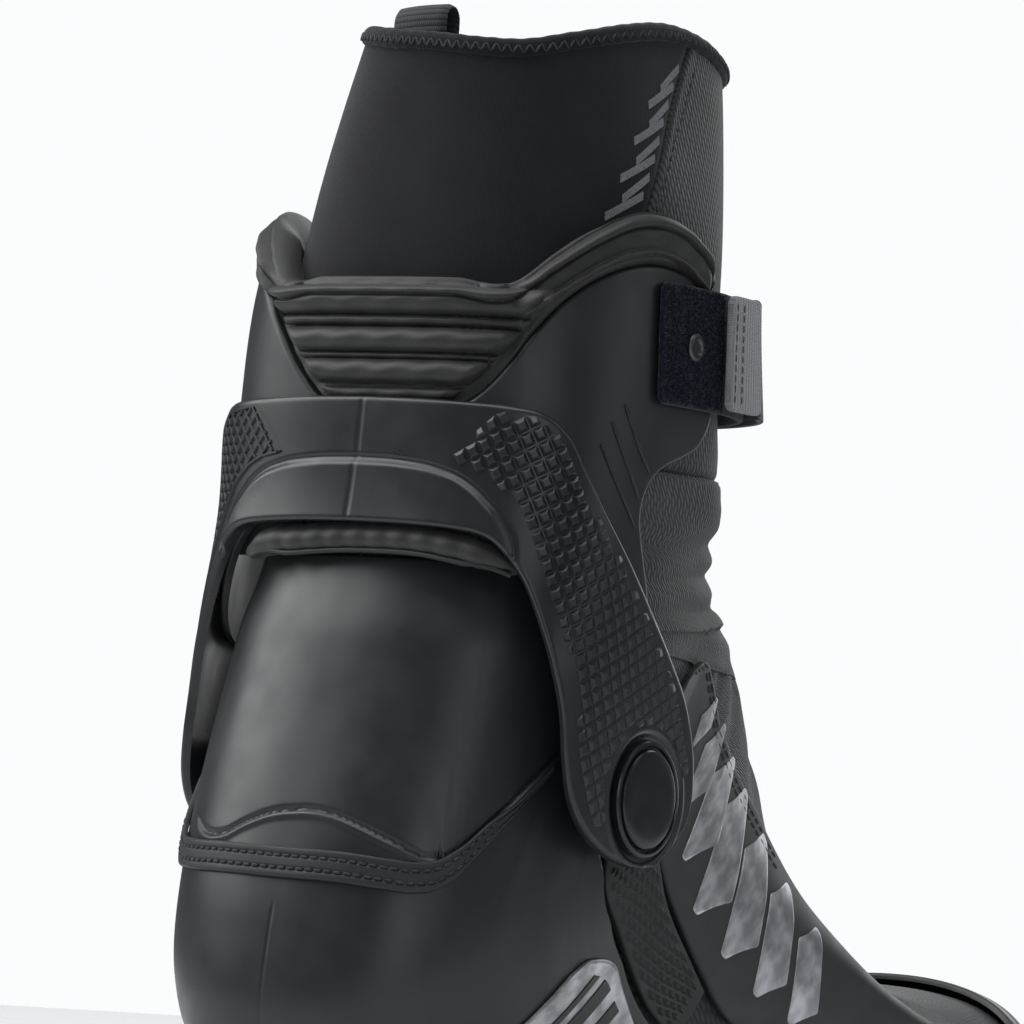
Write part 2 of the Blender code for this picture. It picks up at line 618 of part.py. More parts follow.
def make_sleeve():
    high = rim(0.0)
    levels = np.linspace(0, 1, 6)[:, None]
    w = np.linspace(-1, 1, 15)[None, :]
    z = 150.0 + (high - 5.2 - 150.0) * levels + 0 * w
    t = np.radians(seam(z) - 0.45) * w
    z = 150.0 + (rim(t) - 5.2 - 150.0) * levels
    skin("ankle_sleeve", sleeve_off, t, z, -3.2, 0, (0.045, 0.045, 0.05), rough=0.9)
    side = math.pi - np.radians(seam(z) + 0.45)
    t = math.pi + side * w
    z = 150.0 + (rim(t) - 5.2 - 150.0) * levels
    skin("front_panel", sleeve_off, t, z, -3.2, 0, (0.16, 0.16, 0.165), rough=0.9)
    t = np.linspace(0, 2 * math.pi, 36, endpoint=False)[None, :]
    z = rim(t) - 4.6 + 4.6 * np.array([0, 1.0])[:, None]
    skin("top_binding", sleeve_off, t, z, -3.6, 0.9, (0.03, 0.03, 0.032), wrap=True, rough=0.9)


def make_pull_loop():
    rear = sleeve_off(0.0, RIM_REAR_Z, 0.0)[1]
    outside, inside = rear + 5.1, rear + 8.5
    mid, half = (outside + inside) / 2, (inside - outside) / 2
    arch = [(mid - half * math.cos(a), RIM_REAR_Z + 2.8 + half * math.sin(a))
            for a in np.linspace(0, math.pi, 9)]
    line = np.array([(outside - 0.9, 226.0), (outside, 234.0)] + arch + [(inside, 234.0), (inside + 0.9, 226.0)])
    ahead = np.gradient(line, axis=0)
    ahead /= np.linalg.norm(ahead, axis=1, keepdims=True)
    normal = np.stack([-ahead[:, 1], ahead[:, 0]], -1)

    def grid(off):
        yz = line + normal * off
        return np.stack([np.stack([np.full(len(yz), x), yz[:, 0] + LOOP_BEND * x * x, yz[:, 1]], -1)
                         for x in (-14.5, -10.5, -6.5, -2.5, 1.5)], 1)

    points, faces = two_skins(grid(1.1), grid(0.0))
    place("pull_loop", points, faces, (0.04, 0.04, 0.043), rough=0.9)


def band(name, degrees, low, high, inner, thick, colour, **look):
    """Strap piece round the cuff between two heights; inner gives the clearance per column."""
    deg = np.asarray(degrees, float)
    t = np.radians(deg)[None, :]
    z = np.array([low, (low + high) / 2, high])[:, None] + 0 * t
    inner = np.broadcast_to(np.asarray(inner, float), deg.shape)[None, :] + 0 * z
    skin(name, cuff_off, t, z, inner, inner + thick, colour, **look)


STRAP_LOW, STRAP_HIGH = 168.0, 193.0
STRAP_HINGE = 276.0


def make_strap():
    under = np.array([72, 78, 84, 90, 96, 102, 110, 120, 132, 146, 162, 180, 198, 214, 226.0])
    lift = np.interp(under, (98, 112), (2.4, 0.5))
    band("strap_loop_band", under, STRAP_LOW, STRAP_HIGH, lift, 1.4, (0.02, 0.025, 0.05), rough=0.95)
    over = np.array([109, 116, 126, 138, 152, 168, 184, 200, 214, 226, 238, 248, 258, 266, 271, 275.5])
    lift = np.interp(over, (112, 150, 226, 250, 262, 276), (4.9, 2.6, 2.5, 2.5, 2.5, 2.5))
    band("strap_band", over, STRAP_LOW, STRAP_HIGH, lift, 1.4, (0.03, 0.03, 0.035), rough=0.9)
    band("strap_tab", np.array([94.5, 99, 103, 108.2]), STRAP_LOW + 0.5, STRAP_HIGH - 0.5, 5.7, 1.7,
         (0.28, 0.3, 0.32), rough=0.8)
    band("strap_keeper", np.array([276.5, 280, 285, 290]), STRAP_LOW, STRAP_HIGH, 2.5, 1.4,
         (0.03, 0.03, 0.035), rough=0.9)
    for side, word, degrees in ((1, "outer", 84.0), (-1, "inner", 283.5)):
        at = cuff_off(math.radians(degrees), 180.5, 2.4)
        x = abs(at[0])
        profile = [(side * (x + 1.9), 4.2), (side * (x + 2.4), 4.0), (side * (x + 2.9), 2.6)]
        turned("strap_rivet_" + word, profile, (at[1], 180.5), (0.5, 0.5, 0.52), sides=16, rough=0.3,
               metallic=0.9)


def make_pivots():
    arm = cuff_off(math.radians(80.0), PIVOT_Z, FRAME[1])[0]
    for side, word in ((1, "outer"), (-1, "inner")):
        profile = [(side * 43.6, PIN_R), (side * (arm + 0.3), PIN_R), (side * (arm + 0.3), CAP_R),
                   (side * (arm + 1.4), CAP_R), (side * (arm + 1.9), CAP_R - 0.8)]
        turned("pivot_cap_" + word, profile, (0, PIVOT_Z), (0.03, 0.031, 0.033), sides=40, rough=0.25)
        ring = [(side * 46.9, 8.6), (side * 46.9, BORE_R), (side * 47.9, BORE_R), (side * 47.9, 8.6)]
        washer("pivot_washer_" + word, ring)


def washer(name, ring, sides=20):
    points, faces = [], []
    for k in range(sides):
        a = 2 * math.pi * k / sides
        points += [(x, r * math.cos(a), PIVOT_Z + r * math.sin(a)) for x, r in ring]
    n = len(ring)
    for k in range(sides):
        for i in range(n):
            a, b = k * n + i, k * n + (i + 1) % n
            c, d = ((k + 1) % sides) * n + (i + 1) % n, ((k + 1) % sides) * n + i
            faces.append((a, b, c, d))
    return place(name, points, faces, (0.55, 0.55, 0.57), rough=0.3, metallic=0.9)


def main():
    clear_scene()
    make_upper()
    make_gaiter()
    make_counter()
    make_trim()
    make_side_panels()
    make_badge()
    make_toe_cap()
    make_inner_floor()
    make_tongue()
    make_laces()
    make_lace_lock()
    make_zip()
    make_chassis()
    make_soles()
    make_toe_hold()
    make_cuff_frame()
    make_cuff_shell()
    make_collar_pad()
    make_lower_roll()
    make_sleeve()
    make_pull_loop()
    make_strap()
    make_pivots()


main()
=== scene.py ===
"""Looks of the cross country skate boot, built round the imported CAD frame.
Shapes are worked out in millimetres in the row frame (+Z up, toe +Y, outer side +X) and scaled once."""

import math
import random

import bmesh
import bpy
import numpy as np
from mathutils import Matrix, Vector


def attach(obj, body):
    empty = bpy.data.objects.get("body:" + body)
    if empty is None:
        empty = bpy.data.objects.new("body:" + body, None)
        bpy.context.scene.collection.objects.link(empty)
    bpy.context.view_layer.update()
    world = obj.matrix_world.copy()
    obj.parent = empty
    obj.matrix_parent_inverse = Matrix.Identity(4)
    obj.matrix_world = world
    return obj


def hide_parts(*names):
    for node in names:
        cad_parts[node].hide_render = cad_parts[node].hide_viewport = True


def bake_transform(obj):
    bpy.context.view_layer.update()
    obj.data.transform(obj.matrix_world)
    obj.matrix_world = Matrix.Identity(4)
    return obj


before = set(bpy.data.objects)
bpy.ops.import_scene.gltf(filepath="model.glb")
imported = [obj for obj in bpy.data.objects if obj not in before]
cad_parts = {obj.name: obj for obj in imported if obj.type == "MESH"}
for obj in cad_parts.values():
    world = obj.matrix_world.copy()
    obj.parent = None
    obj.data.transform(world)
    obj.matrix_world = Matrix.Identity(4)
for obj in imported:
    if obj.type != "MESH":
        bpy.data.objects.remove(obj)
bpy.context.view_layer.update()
MM = 0.001
TAU = 2 * math.pi
PIVOT_Z = 88.0
PIVOT_CLEAR = 14.8  # radius kept free of the arm's relief round the pivot
ARM_BACK, ARM_FACE, SHELL_FACE = 2.3, 4.4, 1.8  # offsets of the cuff's plastic from its form

# Height of the sleeve's upper edge, by degrees round the leg from the rear.
RIM_REAR_Z = 241.8
RIM = (
    (-180, 244), (-150, 244.6), (-116, 246.8), (-104, 248.4), (-87, 249), (-66, 247.2), (-45, 245), (-23, 243.1),
    (0, RIM_REAR_Z), (20, 240.9), (36, 241), (50, 243.5), (66, 246.9), (87, 249.2), (104, 248.6), (116, 246.8),
    (150, 244.6), (180, 244),
)
# The lower boot from toe to ankle: back y and z, front y and z, half width, share of the depth behind the
# widest line, corner exponents at the back and the front, and the centre's x.
SECTIONS = (
    (234, 28, 235, 33, 4, 0.50, 2.2, 2.2, -6),
    (230, 23, 231.5, 41, 20, 0.45, 2.6, 2.2, -6),
    (220, 19.5, 220, 48.5, 33, 0.40, 3.0, 2.2, -5),
    (203, 18, 202, 50.5, 43, 0.39, 3.4, 2.2, -4),
    (178, 18, 178, 51, 48.5, 0.40, 3.6, 2.3, -2),
    (150, 18.5, 150.3, 56, 49, 0.475, 3.6, 2.4, -1),
    (115, 20, 118.7, 70, 46, 0.53, 3.4, 2.4, 0),
    (75, 21.5, 97.2, 97.8, 43.5, 0.48, 3.2, 2.5, 0),
    (30, 23, 85.5, 122, 42, 0.455, 3.0, 2.6, 0),
    (-15, 24, 79.7, 132, 42, 0.47, 2.8, 2.6, 0),
    (-44, 26, 76, 137, 42.5, 0.48, 2.7, 2.6, 0),
    (-54.5, 38, 74, 142, 42.5, 0.48, 2.6, 2.6, 0),
    (-54, 58, 72.5, 148, 42.5, 0.48, 2.6, 2.5, 0),
    (-49, 80, 71, 155, 42, 0.48, 2.6, 2.5, 0),
    (-41.5, 105, 69.5, 164, 41.5, 0.49, 2.6, 2.4, 0),
    (-34.5, 130, 68, 175, 41.5, 0.50, 2.5, 2.4, 0),
    (-31, 155, 67, 188, 41.5, 0.50, 2.4, 2.4, 0),
    (-29, 180, 66.5, 202, 41.5, 0.50, 2.3, 2.3, 0),
)
# The cuff and the sleeve: height, outer and inner half width, rear and front y, corner exponents.
CUFF = (
    (60, 46.5, 46.5, -57, 68, 4.5, 2.5, 2.6),
    (88, 46.5, 46.5, -53, 68, 4.5, 2.5, 2.6),
    (110, 46.5, 46.0, -45, 67, 4.5, 2.65, 2.6),
    (125, 46.4, 45.6, -38, 66, 4.3, 2.9, 2.5),
    (140, 46.2, 45.5, -34, 65, 4.0, 3.0, 2.4),
    (166, 45.6, 46.2, -31.5, 63, 3.2, 3.2, 2.2),
    (185, 45.0, 46.8, -30.5, 62, 2.7, 2.9, 2.1),
    (205, 44.0, 45.2, -28.5, 62, 2.5, 2.6, 2.1),
    (222, 43.0, 43.5, -27, 63, 2.5, 2.5, 2.1),
)
SLEEVE = (
    (145, 42.8, 42.4, -29.8, 61.5, 3.4, 3.0, 2.3),
    (166, 42.3, 42.2, -28.3, 60.0, 2.9, 2.9, 2.2),
    (185, 42.0, 41.2, -27.3, 60.0, 2.6, 2.7, 2.1),
    (205, 41.0, 39.3, -26.2, 61.0, 2.4, 2.5, 2.1),
    (226, 37.0, 34.6, -24.0, 64.5, 2.4, 2.4, 2.2),
    (255, 31.0, 26.2, -20.8, 67.5, 2.4, 2.4, 2.2),
)
# How much the instep is slimmed, by section.
INSTEP = ((2, 3, 4, 5, 6, 7, 8, 9, 10, 11, 13), (0, 0.12, 0.25, 0.285, 0.345, 0.25, 0.12, 0.05, 0.05, 0.08, 0.04))
# Heights by degrees from the rear: the collar's roll, and the arch line on the bridge.
PAD_TOP = (
    (0, 189), (20, 189), (35, 189), (43, 195), (52, 201), (62, 205.5), (76, 206), (88, 202), (98, 196),
)
ARCH = ((0, 152.2), (12, 151.8), (21, 150.6), (27, 148.6), (32, 145), (36, 140.5), (39, 134), (41, 124))


def curve(x, xs, ys):
    xs, ys = np.asarray(xs, float), np.asarray(ys, float)
    slope = np.gradient(ys, xs)
    x = np.clip(np.asarray(x, float), xs[0], xs[-1])
    i = np.clip(np.searchsorted(xs, x) - 1, 0, len(xs) - 2)
    h = xs[i + 1] - xs[i]
    u = (x - xs[i]) / h
    start = (1 + 2 * u) * (1 - u) ** 2 * ys[i] + u * (1 - u) ** 2 * h * slope[i]
    return start + u * u * (3 - 2 * u) * ys[i + 1] + u * u * (u - 1) * h * slope[i + 1]


def along(x, table, column=1):
    k = np.array(table, float)
    return curve(x, k[:, 0], k[:, column])


def reach(t, n):
    return (np.abs(np.sin(t)) ** n + np.abs(np.cos(t)) ** n) ** (-1 / n)


def foot(t, s):
    """Outer form of the lower boot. t runs round a section from its back, s from toe to ankle."""
    t, s = np.broadcast_arrays(np.asarray(t, float), np.asarray(s, float))
    table = np.array(SECTIONS, float)
    rows = np.arange(len(table))
    by, bz, fy, fz, w, m, nb, nf, cx = (curve(s, rows, table[:, k]) for k in range(9))
    c = np.cos(t)
    r = reach(t, nb + (nf - nb) * (0.5 - 0.5 * c))
    rise = np.clip(-c / 0.6, 0, 1)
    slim = np.interp(s, INSTEP[0], INSTEP[1]) * rise * rise * (3 - 2 * rise)
    k = np.where(c > 0, m * (1 - c * r), m - (1 - m) * c * r)
    return np.stack([cx + w * r * np.sin(t) * (1 - slim), by + (fy - by) * k, bz + (fz - bz) * k], -1)


def foot_normal(t, s):
    e = 1e-3
    along_t = foot(t + e, s) - foot(t - e, s)
    along_s = foot(t, np.minimum(s + e, 17)) - foot(t, np.maximum(s - e, 0))
    n = np.cross(along_t, along_s)
    return n / np.linalg.norm(n, axis=-1, keepdims=True)


def foot_off(t, s, off):
    t, s = np.broadcast_arrays(np.asarray(t, float), np.asarray(s, float))
    return foot(t, s) + foot_normal(t, s) * np.asarray(off, float)[..., None]


def ring_at(table, t, z, off):
    """Ring at height z; rows give outer and inner half width, rear, front and three corner exponents."""
    t, z = np.broadcast_arrays(np.asarray(t, float), np.asarray(z, float))
    k = np.array(table, float)
    outer, inner, rear, front, n_out, n_in, n_front = (curve(z, k[:, 0], k[:, i]) for i in range(1, 8))
    is_inner = np.sin(t) < 0
    w = np.clip(-np.cos(t) / 0.8, 0, 1)
    w = w * w * (3 - 2 * w)
    r = reach(t, np.where(is_inner, n_in, n_out) * (1 - w) + n_front * w)
    mid, half = (rear + front) / 2, (front - rear) / 2
    return np.stack([(np.where(is_inner, inner, outer) + off) * r * np.sin(t),
                     mid - (half + off) * r * np.cos(t), z], -1)


def cuff_off(t, z, off):
    return ring_at(CUFF, t, z, off)


def sleeve_off(t, z, off):
    return ring_at(SLEEVE, t, z, off)


def smooth(x, low, high):
    u = np.clip((np.asarray(x, float) - low) / (high - low), 0, 1)
    return u * u * (3 - 2 * u)


def round_edge(x, half):
    """A rounded rib's height, 1 in the middle and 0 from half outwards."""
    return np.sqrt(np.clip(1 - (x / half) ** 2, 0, 1))


# ---------- meshes ----------
def link(name, data):
    made = bpy.data.objects.new(name, data)
    bpy.context.scene.collection.objects.link(made)
    return made


def evaluated(made):
    """The object's mesh with its curve bevel or its modifiers applied."""
    graph = bpy.context.evaluated_depsgraph_get()
    return bpy.data.meshes.new_from_object(made.evaluated_get(graph))


def assign(made, body, replaces):
    """Ties a piece to its body and hides the CAD nodes it replaces."""
    if body:
        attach(made, body)
    if isinstance(replaces, str):
        replaces = (replaces,)
    if replaces:
        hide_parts(*replaces)
    return made


def place(name, points, faces, look, body, replaces=(), uv=None, sharp=40.0):
    mesh = bpy.data.meshes.new(name)
    mesh.from_pydata((np.asarray(points, float) * MM).tolist(), [], [list(map(int, f)) for f in faces])
    mesh.update()
    if uv is not None:
        layer = mesh.uv_layers.new(name="UVMap")
        index = np.zeros(len(mesh.loops), np.int32)
        mesh.loops.foreach_get("vertex_index", index)
        layer.data.foreach_set("uv", np.asarray(uv, float)[index].ravel())
    mesh.materials.append(look.mat)
    mesh.shade_smooth()
    made = link(name, mesh)
    work = bmesh.new()
    work.from_mesh(mesh)
    bmesh.ops.recalc_face_normals(work, faces=work.faces)
    work.to_mesh(mesh)
    work.free()
    mesh.set_sharp_from_angle(angle=math.radians(sharp))
    return assign(made, body, replaces)


def two_skins(outer, inner, wrap=False, cap=False):
    """A closed body from two grids; wrap joins the last column to the first, cap closes the first row."""
    rows, cols, _ = outer.shape
    points = np.concatenate([outer.reshape(-1, 3), inner.reshape(-1, 3)])
    half = rows * cols
    last = cols if wrap else cols - 1
    i, j = np.meshgrid(np.arange(rows - 1), np.arange(last), indexing="ij")
    a, b = (i * cols + j).ravel(), (i * cols + (j + 1) % cols).ravel()
    c, d = b + cols, a + cols
    faces = [*zip(a, b, c, d), *zip(half + d, half + c, half + b, half + a)]
    for i in (0, rows - 1):
        if cap and i == 0:
            faces.append(list(range(cols))[::-1])
            faces.append([half + j for j in range(cols)])
            continue
        for j in range(last):
            a, b = i * cols + j, i * cols + (j + 1) % cols
            face = (b, a, half + a, half + b)
            faces.append(face if i == 0 else face[::-1])
    if not wrap:
        for j in (0, cols - 1):
            for i in range(rows - 1):
                a, b = i * cols + j, (i + 1) * cols + j
                face = (a, b, half + b, half + a)
                faces.append(face if j == 0 else face[::-1])
    return points, faces


def grid_uv(outer):
    """Lengths along rows and columns of the grid in millimetres, for the weaves."""
    across = np.linalg.norm(np.diff(outer, axis=1), axis=2)
    up = np.linalg.norm(np.diff(outer, axis=0), axis=2)
    u = np.concatenate([np.zeros((len(outer), 1)), across.cumsum(1)], 1)
    u = u - u[:, u.shape[1] // 2:u.shape[1] // 2 + 1]
    v = np.concatenate([np.zeros((1, outer.shape[1])), up.cumsum(0)], 0)
    v = np.repeat(v[:, v.shape[1] // 2:v.shape[1] // 2 + 1], v.shape[1], 1) * 0.5 + v * 0.5
    return np.stack([u, v], -1).reshape(-1, 2)


def solid(name, outer, inner, look, body, replaces=(), slot=None, wrap=False, cap=False, sharp=40.0):
    points, faces = two_skins(outer, inner, wrap, cap)
    uv = grid_uv(outer)
    return place(name, points, faces, look, body, replaces, uv=np.concatenate([uv, uv]), sharp=sharp)


def positions(count, length, r):
    """0 to 1 positions with extra lines inside the rounded edge at both ends."""
    near = np.array([0, 0.06, 0.25, 0.6, 1.0]) * r / length
    mid = np.linspace(near[-1], 1 - near[-1], count)
    return np.concatenate([near[:-1], mid, 1 - near[:-1][::-1]])


def edge_drop(distance, r):
    d = np.clip(r - distance, 0, r)
    return r - np.sqrt(np.maximum(r * r - d * d, 0))


def edge_distance(grid, wrap=False):
    """Distance in millimetres of every grid point from the patch's nearest edge."""
    up = np.linalg.norm(np.diff(grid, axis=0), axis=2)
    zero = np.zeros((1, grid.shape[1]))
    low = np.concatenate([zero, up.cumsum(0)], 0)
    high = low[-1:] - low
    near = np.minimum(low, high)
    if not wrap:
        side = np.linalg.norm(np.diff(grid, axis=1), axis=2)
        zero = np.zeros((grid.shape[0], 1))
        left = np.concatenate([zero, side.cumsum(1)], 1)
        near = np.minimum(near, np.minimum(left, left[:, -1:] - left))
    return near


def patch(name, form, t, s, inner, outer, look, body, replaces=(), slot=None, r=0.7, relief=None, **more):
    """A rounded-edge shell over a form; relief adds a height field to the outer face."""
    t, s = np.broadcast_arrays(np.asarray(t, float), np.asarray(s, float))
    base = form(t, s, outer)
    drop = edge_drop(edge_distance(base, more.get("wrap", False)), min(r, outer - inner))
    height = outer - drop + (0 if relief is None else relief(t, s, base))
    return solid(name, form(t, s, height), form(t, s, inner), look, body, replaces, slot, **more)


def height_row(t, level, low, high):
    """Section positions at which the lower boot reaches a level, a number or a function of y."""
    low, high = np.full(t.shape, float(low)), np.full(t.shape, float(high))
    for _ in range(30):
        mid = (low + high) / 2
        at = foot(t, mid)
        under = at[..., 2] < (level(at[..., 1]) if callable(level) else level)
        low, high = np.where(under, mid, low), np.where(under, high, mid)
    return (low + high) / 2


def mixed(low, high, w):
    """Rows between two lines, one for each share w."""
    w = np.asarray(w, float)[:, None]
    return low[None, :] * (1 - w) + high[None, :] * w


def beads(name, at, ahead, normal, size, look, body, sides=6, rings=5):
    """Many small elongated beads in one mesh, such as stitches; size is (length, width, height)."""
    at, ahead, normal = (np.asarray(v, float).reshape(-1, 3) for v in (at, ahead, normal))
    ahead = ahead / np.linalg.norm(ahead, axis=1, keepdims=True)
    side = np.cross(normal, ahead)
    side /= np.linalg.norm(side, axis=1, keepdims=True)
    up = np.cross(ahead, side)
    size = np.broadcast_to(np.asarray(size, float), (len(at), 3)) / 2
    points, faces = [], []
    u = np.linspace(0, math.pi, rings + 2)[1:-1]
    local = [(-1.0, 0.0, 0.0)]
    for a in u:
        for b in range(sides):
            c = b * TAU / sides
            flat = np.sin(a) ** 0.6
            local.append((-np.cos(a), flat * np.cos(c), flat * np.sin(c)))
    local.append((1.0, 0.0, 0.0))
    local = np.array(local)
    count = len(local)
    pattern = [(0, 1 + (b + 1) % sides, 1 + b) for b in range(sides)]
    for a in range(rings - 1):
        for b in range(sides):
            p, q = 1 + a * sides + b, 1 + a * sides + (b + 1) % sides
            pattern.append((p, q, q + sides, p + sides))
    pattern += [(count - 1, 1 + (rings - 1) * sides + b, 1 + (rings - 1) * sides + (b + 1) % sides)
                for b in range(sides)]
    for k in range(len(at)):
        x = local * size[k]
        points.append(at[k] + x[:, :1] * ahead[k] + x[:, 1:2] * side[k] + x[:, 2:] * up[k])
        faces += [tuple(k * count + f for f in face) for face in pattern]
    return place(name, np.concatenate(points), faces, look, body, sharp=60)


def even_path(points, step):
    """Points a fixed step apart along a line, and the direction there."""
    points = np.asarray(points, float)
    d = np.concatenate([[0], np.linalg.norm(np.diff(points, axis=0), axis=1).cumsum()])
    at = np.arange(step / 2, d[-1], step)
    line = np.stack([np.interp(at, d, points[:, k]) for k in range(points.shape[1])], -1)
    ahead = np.stack([np.interp(at + 0.3, d, points[:, k]) - np.interp(at - 0.3, d, points[:, k])
                      for k in range(points.shape[1])], -1)
    return line, ahead


def cord(name, points, radius, look, body, replaces=(), profile=None):
    """A tube along a line of points in millimetres; profile scales the radius along it."""
    data = bpy.data.curves.new(name, "CURVE")
    data.dimensions = "3D"
    data.bevel_depth = radius * MM
    data.bevel_resolution = 3
    data.use_fill_caps = True
    line = data.splines.new("POLY")
    line.points.add(len(points) - 1)
    for k, p in enumerate(points):
        line.points[k].co = (*[v * MM for v in p], 1)
        if profile is not None:
            line.points[k].radius = profile[k]
    line.use_smooth = True
    made = link(name, data)
    mesh = evaluated(made)
    bpy.data.objects.remove(made)
    made = link(name, mesh)
    mesh.materials.clear()
    mesh.materials.append(look.mat)
    mesh.shade_smooth()
    return assign(made, body, replaces)


# ---------- materials ----------
class Look:
    """A Principled material and short calls for the nodes that feed it. Lengths are in millimetres."""

    def __init__(self, name, colour, rough, metal=0.0, specular=0.5, sheen=0.0, object_space=False):
        self.mat = bpy.data.materials.new(name)
        self.mat.use_nodes = True
        self.tree = self.mat.node_tree
        self.shader = self.tree.nodes["Principled BSDF"]
        self.colour = (*colour, 1.0)
        values = {"Base Color": self.colour, "Roughness": rough, "Metallic": metal, "Specular IOR Level": specular,
                  "Sheen Weight": sheen, "Sheen Roughness": 0.45}
        for socket, value in values.items():
            self.shader.inputs[socket].default_value = value
        self.normal = None
        where = self.tree.nodes.new("ShaderNodeTexCoord")
        self.at = where.outputs["UV"]
        if object_space:
            inputs = {0: where.outputs["Object"], "Scale": 1 / MM}
            self.at = self.node("VectorMath", inputs, operation="SCALE").outputs[0]
        self.u, self.v, _ = self.node("SeparateXYZ", {0: self.at}).outputs

    def node(self, kind, inputs, **settings):
        """A new node; each input is a number, a tuple or another node's output."""
        made = self.tree.nodes.new("ShaderNode" + kind)
        for name, value in settings.items():
            setattr(made, name, value)
        for socket, value in inputs.items():
            if isinstance(value, bpy.types.NodeSocket):
                self.tree.links.new(value, made.inputs[socket])
            else:
                made.inputs[socket].default_value = value
        return made

    def math(self, operation, *values):
        return self.node("Math", dict(enumerate(values)), operation=operation).outputs[0]

    def scaled(self, factors):
        return self.node("VectorMath", {0: self.at, 1: factors}, operation="MULTIPLY").outputs[0]

    def noise(self, size, detail=2.0, stretch=(1, 1, 1)):
        """Noise with features about this many millimetres across."""
        at = self.scaled(tuple(k / size for k in stretch))
        return self.node("TexNoise", {"Vector": at, "Scale": 1.0, "Detail": detail}).outputs["Fac"]

    def cells(self, size):
        at = self.scaled((1 / size,) * 3)
        return self.node("TexVoronoi", {"Vector": at, "Scale": 1.0}).outputs["Distance"]

    def wave(self, value, pitch, shift):
        turned = self.math("ADD", self.math("MULTIPLY", value, TAU / pitch), shift)
        return self.math("MULTIPLY_ADD", self.math("SINE", turned), 0.5, 0.5)

    def arch(self, part):
        """A half-round rib for each whole number that part passes."""
        return self.math("SINE", self.math("MULTIPLY", self.math("FRACT", part), math.pi))

    def bump(self, height, depth, strength=1.0):
        """Relief up to depth millimetres, on top of any relief before it."""
        inputs = {"Distance": depth * MM, "Strength": strength, "Height": height}
        if self.normal is not None:
            inputs["Normal"] = self.normal
        self.normal = self.node("Bump", inputs).outputs[0]
        self.tree.links.new(self.normal, self.shader.inputs["Normal"])

    def tint(self, factor, other, low=0.0, high=1.0):
        """Mixes another colour over the base where factor is high."""
        ramp = self.node("MapRange", {"Value": factor, "From Min": low, "From Max": high})
        mix = self.tree.nodes.new("ShaderNodeMix")
        mix.data_type = "RGBA"
        self.tree.links.new(ramp.outputs[0], mix.inputs["Factor"])
        socket = self.shader.inputs["Base Color"]
        if socket.is_linked:
            self.tree.links.new(socket.links[0].from_socket, mix.inputs["A"])
        else:
            mix.inputs["A"].default_value = self.colour
        mix.inputs["B"].default_value = (*other, 1.0)
        self.tree.links.new(mix.outputs["Result"], socket)

    def polish(self, factor, low, high):
        """Roughness from low to high as the factor goes from 0.3 to 0.7."""
        inputs = {"Value": factor, "From Min": 0.3, "From Max": 0.7, "To Min": low, "To Max": high}
        ramp = self.node("MapRange", inputs)
        self.tree.links.new(ramp.outputs[0], self.shader.inputs["Roughness"])


def plastic(name, colour, rough, grain=0.012, **more):
    look = Look(name, colour, rough, **more)
    light = tuple(min(1.0, c * 1.35 + 0.002) for c in colour)
    look.tint(look.noise(28, 3), light, 0.35, 0.75)
    look.polish(look.noise(9, 4), rough - 0.05, rough + 0.06)
    look.bump(look.noise(0.32, 2), grain)
    look.bump(look.noise(14, 1), 0.05, 0.5)
    return look


def metal(name, colour, rough, brushed=(1, 1, 1)):
    look = Look(name, colour, rough, metal=1.0, object_space=True)
    look.polish(look.noise(1.5, 4, brushed), rough - 0.06, rough + 0.1)
    look.tint(look.noise(4, 3), tuple(c * 0.75 for c in colour), 0.4, 0.8)
    look.bump(look.noise(0.5, 2, brushed), 0.006)
    return look


def knit(name, colour, rib=0.62, course=0.5, depth=0.05, **more):
    look = Look(name, colour, 0.9, specular=0.25, sheen=0.15, **more)
    ribs = look.arch(look.math("DIVIDE", look.u, rib))
    loops = look.wave(look.v, course, look.math("MULTIPLY", ribs, 2.2))
    cloth = look.math("MULTIPLY", ribs, look.math("MULTIPLY_ADD", loops, 0.6, 0.4))
    look.tint(cloth, tuple(c * 1.7 + 0.004 for c in colour), 0.2, 1.3)
    look.tint(look.noise(11, 3), tuple(c * 0.75 for c in colour), 0.35, 0.9)
    look.bump(cloth, depth)
    look.bump(look.noise(0.35, 2), 0.02)
    return look


def webbing(name, colour, rib=1.1, depth=0.12, along_u=True, **more):
    look = Look(name, colour, 0.75, specular=0.3, sheen=0.2, **more)
    a, b = (look.u, look.v) if along_u else (look.v, look.u)
    part = look.math("DIVIDE", b, rib)
    ribs = look.arch(part)
    yarn = look.wave(a, 0.55, look.math("MULTIPLY", look.math("FLOOR", part), math.pi))
    cloth = look.math("MULTIPLY", ribs, look.math("MULTIPLY_ADD", yarn, 0.5, 0.5))
    look.tint(cloth, tuple(c * 1.6 + 0.004 for c in colour), 0.1, 1.1)
    look.bump(cloth, depth)
    look.bump(look.noise(0.3, 2), 0.02)
    return look


frame_look = plastic("frame_plastic", (0.0130, 0.0137, 0.0153), 0.31, grain=0.010)
shell_look = plastic("shell_plastic", (0.0115, 0.0122, 0.0138), 0.40, grain=0.008)
counter_look = plastic("counter_plastic", (0.0125, 0.0138, 0.0150), 0.36, grain=0.006)
toe_look = plastic("toe_plastic", (0.0120, 0.0125, 0.0135), 0.45, grain=0.014)
chassis_look = plastic("chassis_plastic", (0.0085, 0.0090, 0.0100), 0.38, grain=0.02, object_space=True)
chassis_look.tint(chassis_look.noise(0.9, 1, (1, 0.12, 1)), (0.022, 0.023, 0.025), 0.6, 0.8)
panel_look = plastic("panel_film", (0.0140, 0.0146, 0.0165), 0.50, grain=0.014)
cap_look = plastic("cap_plastic", (0.0080, 0.0084, 0.0092), 0.22, grain=0.003, object_space=True)
grip_look = plastic("grip_rubber", (0.0120, 0.0124, 0.0132), 0.55, grain=0.02)
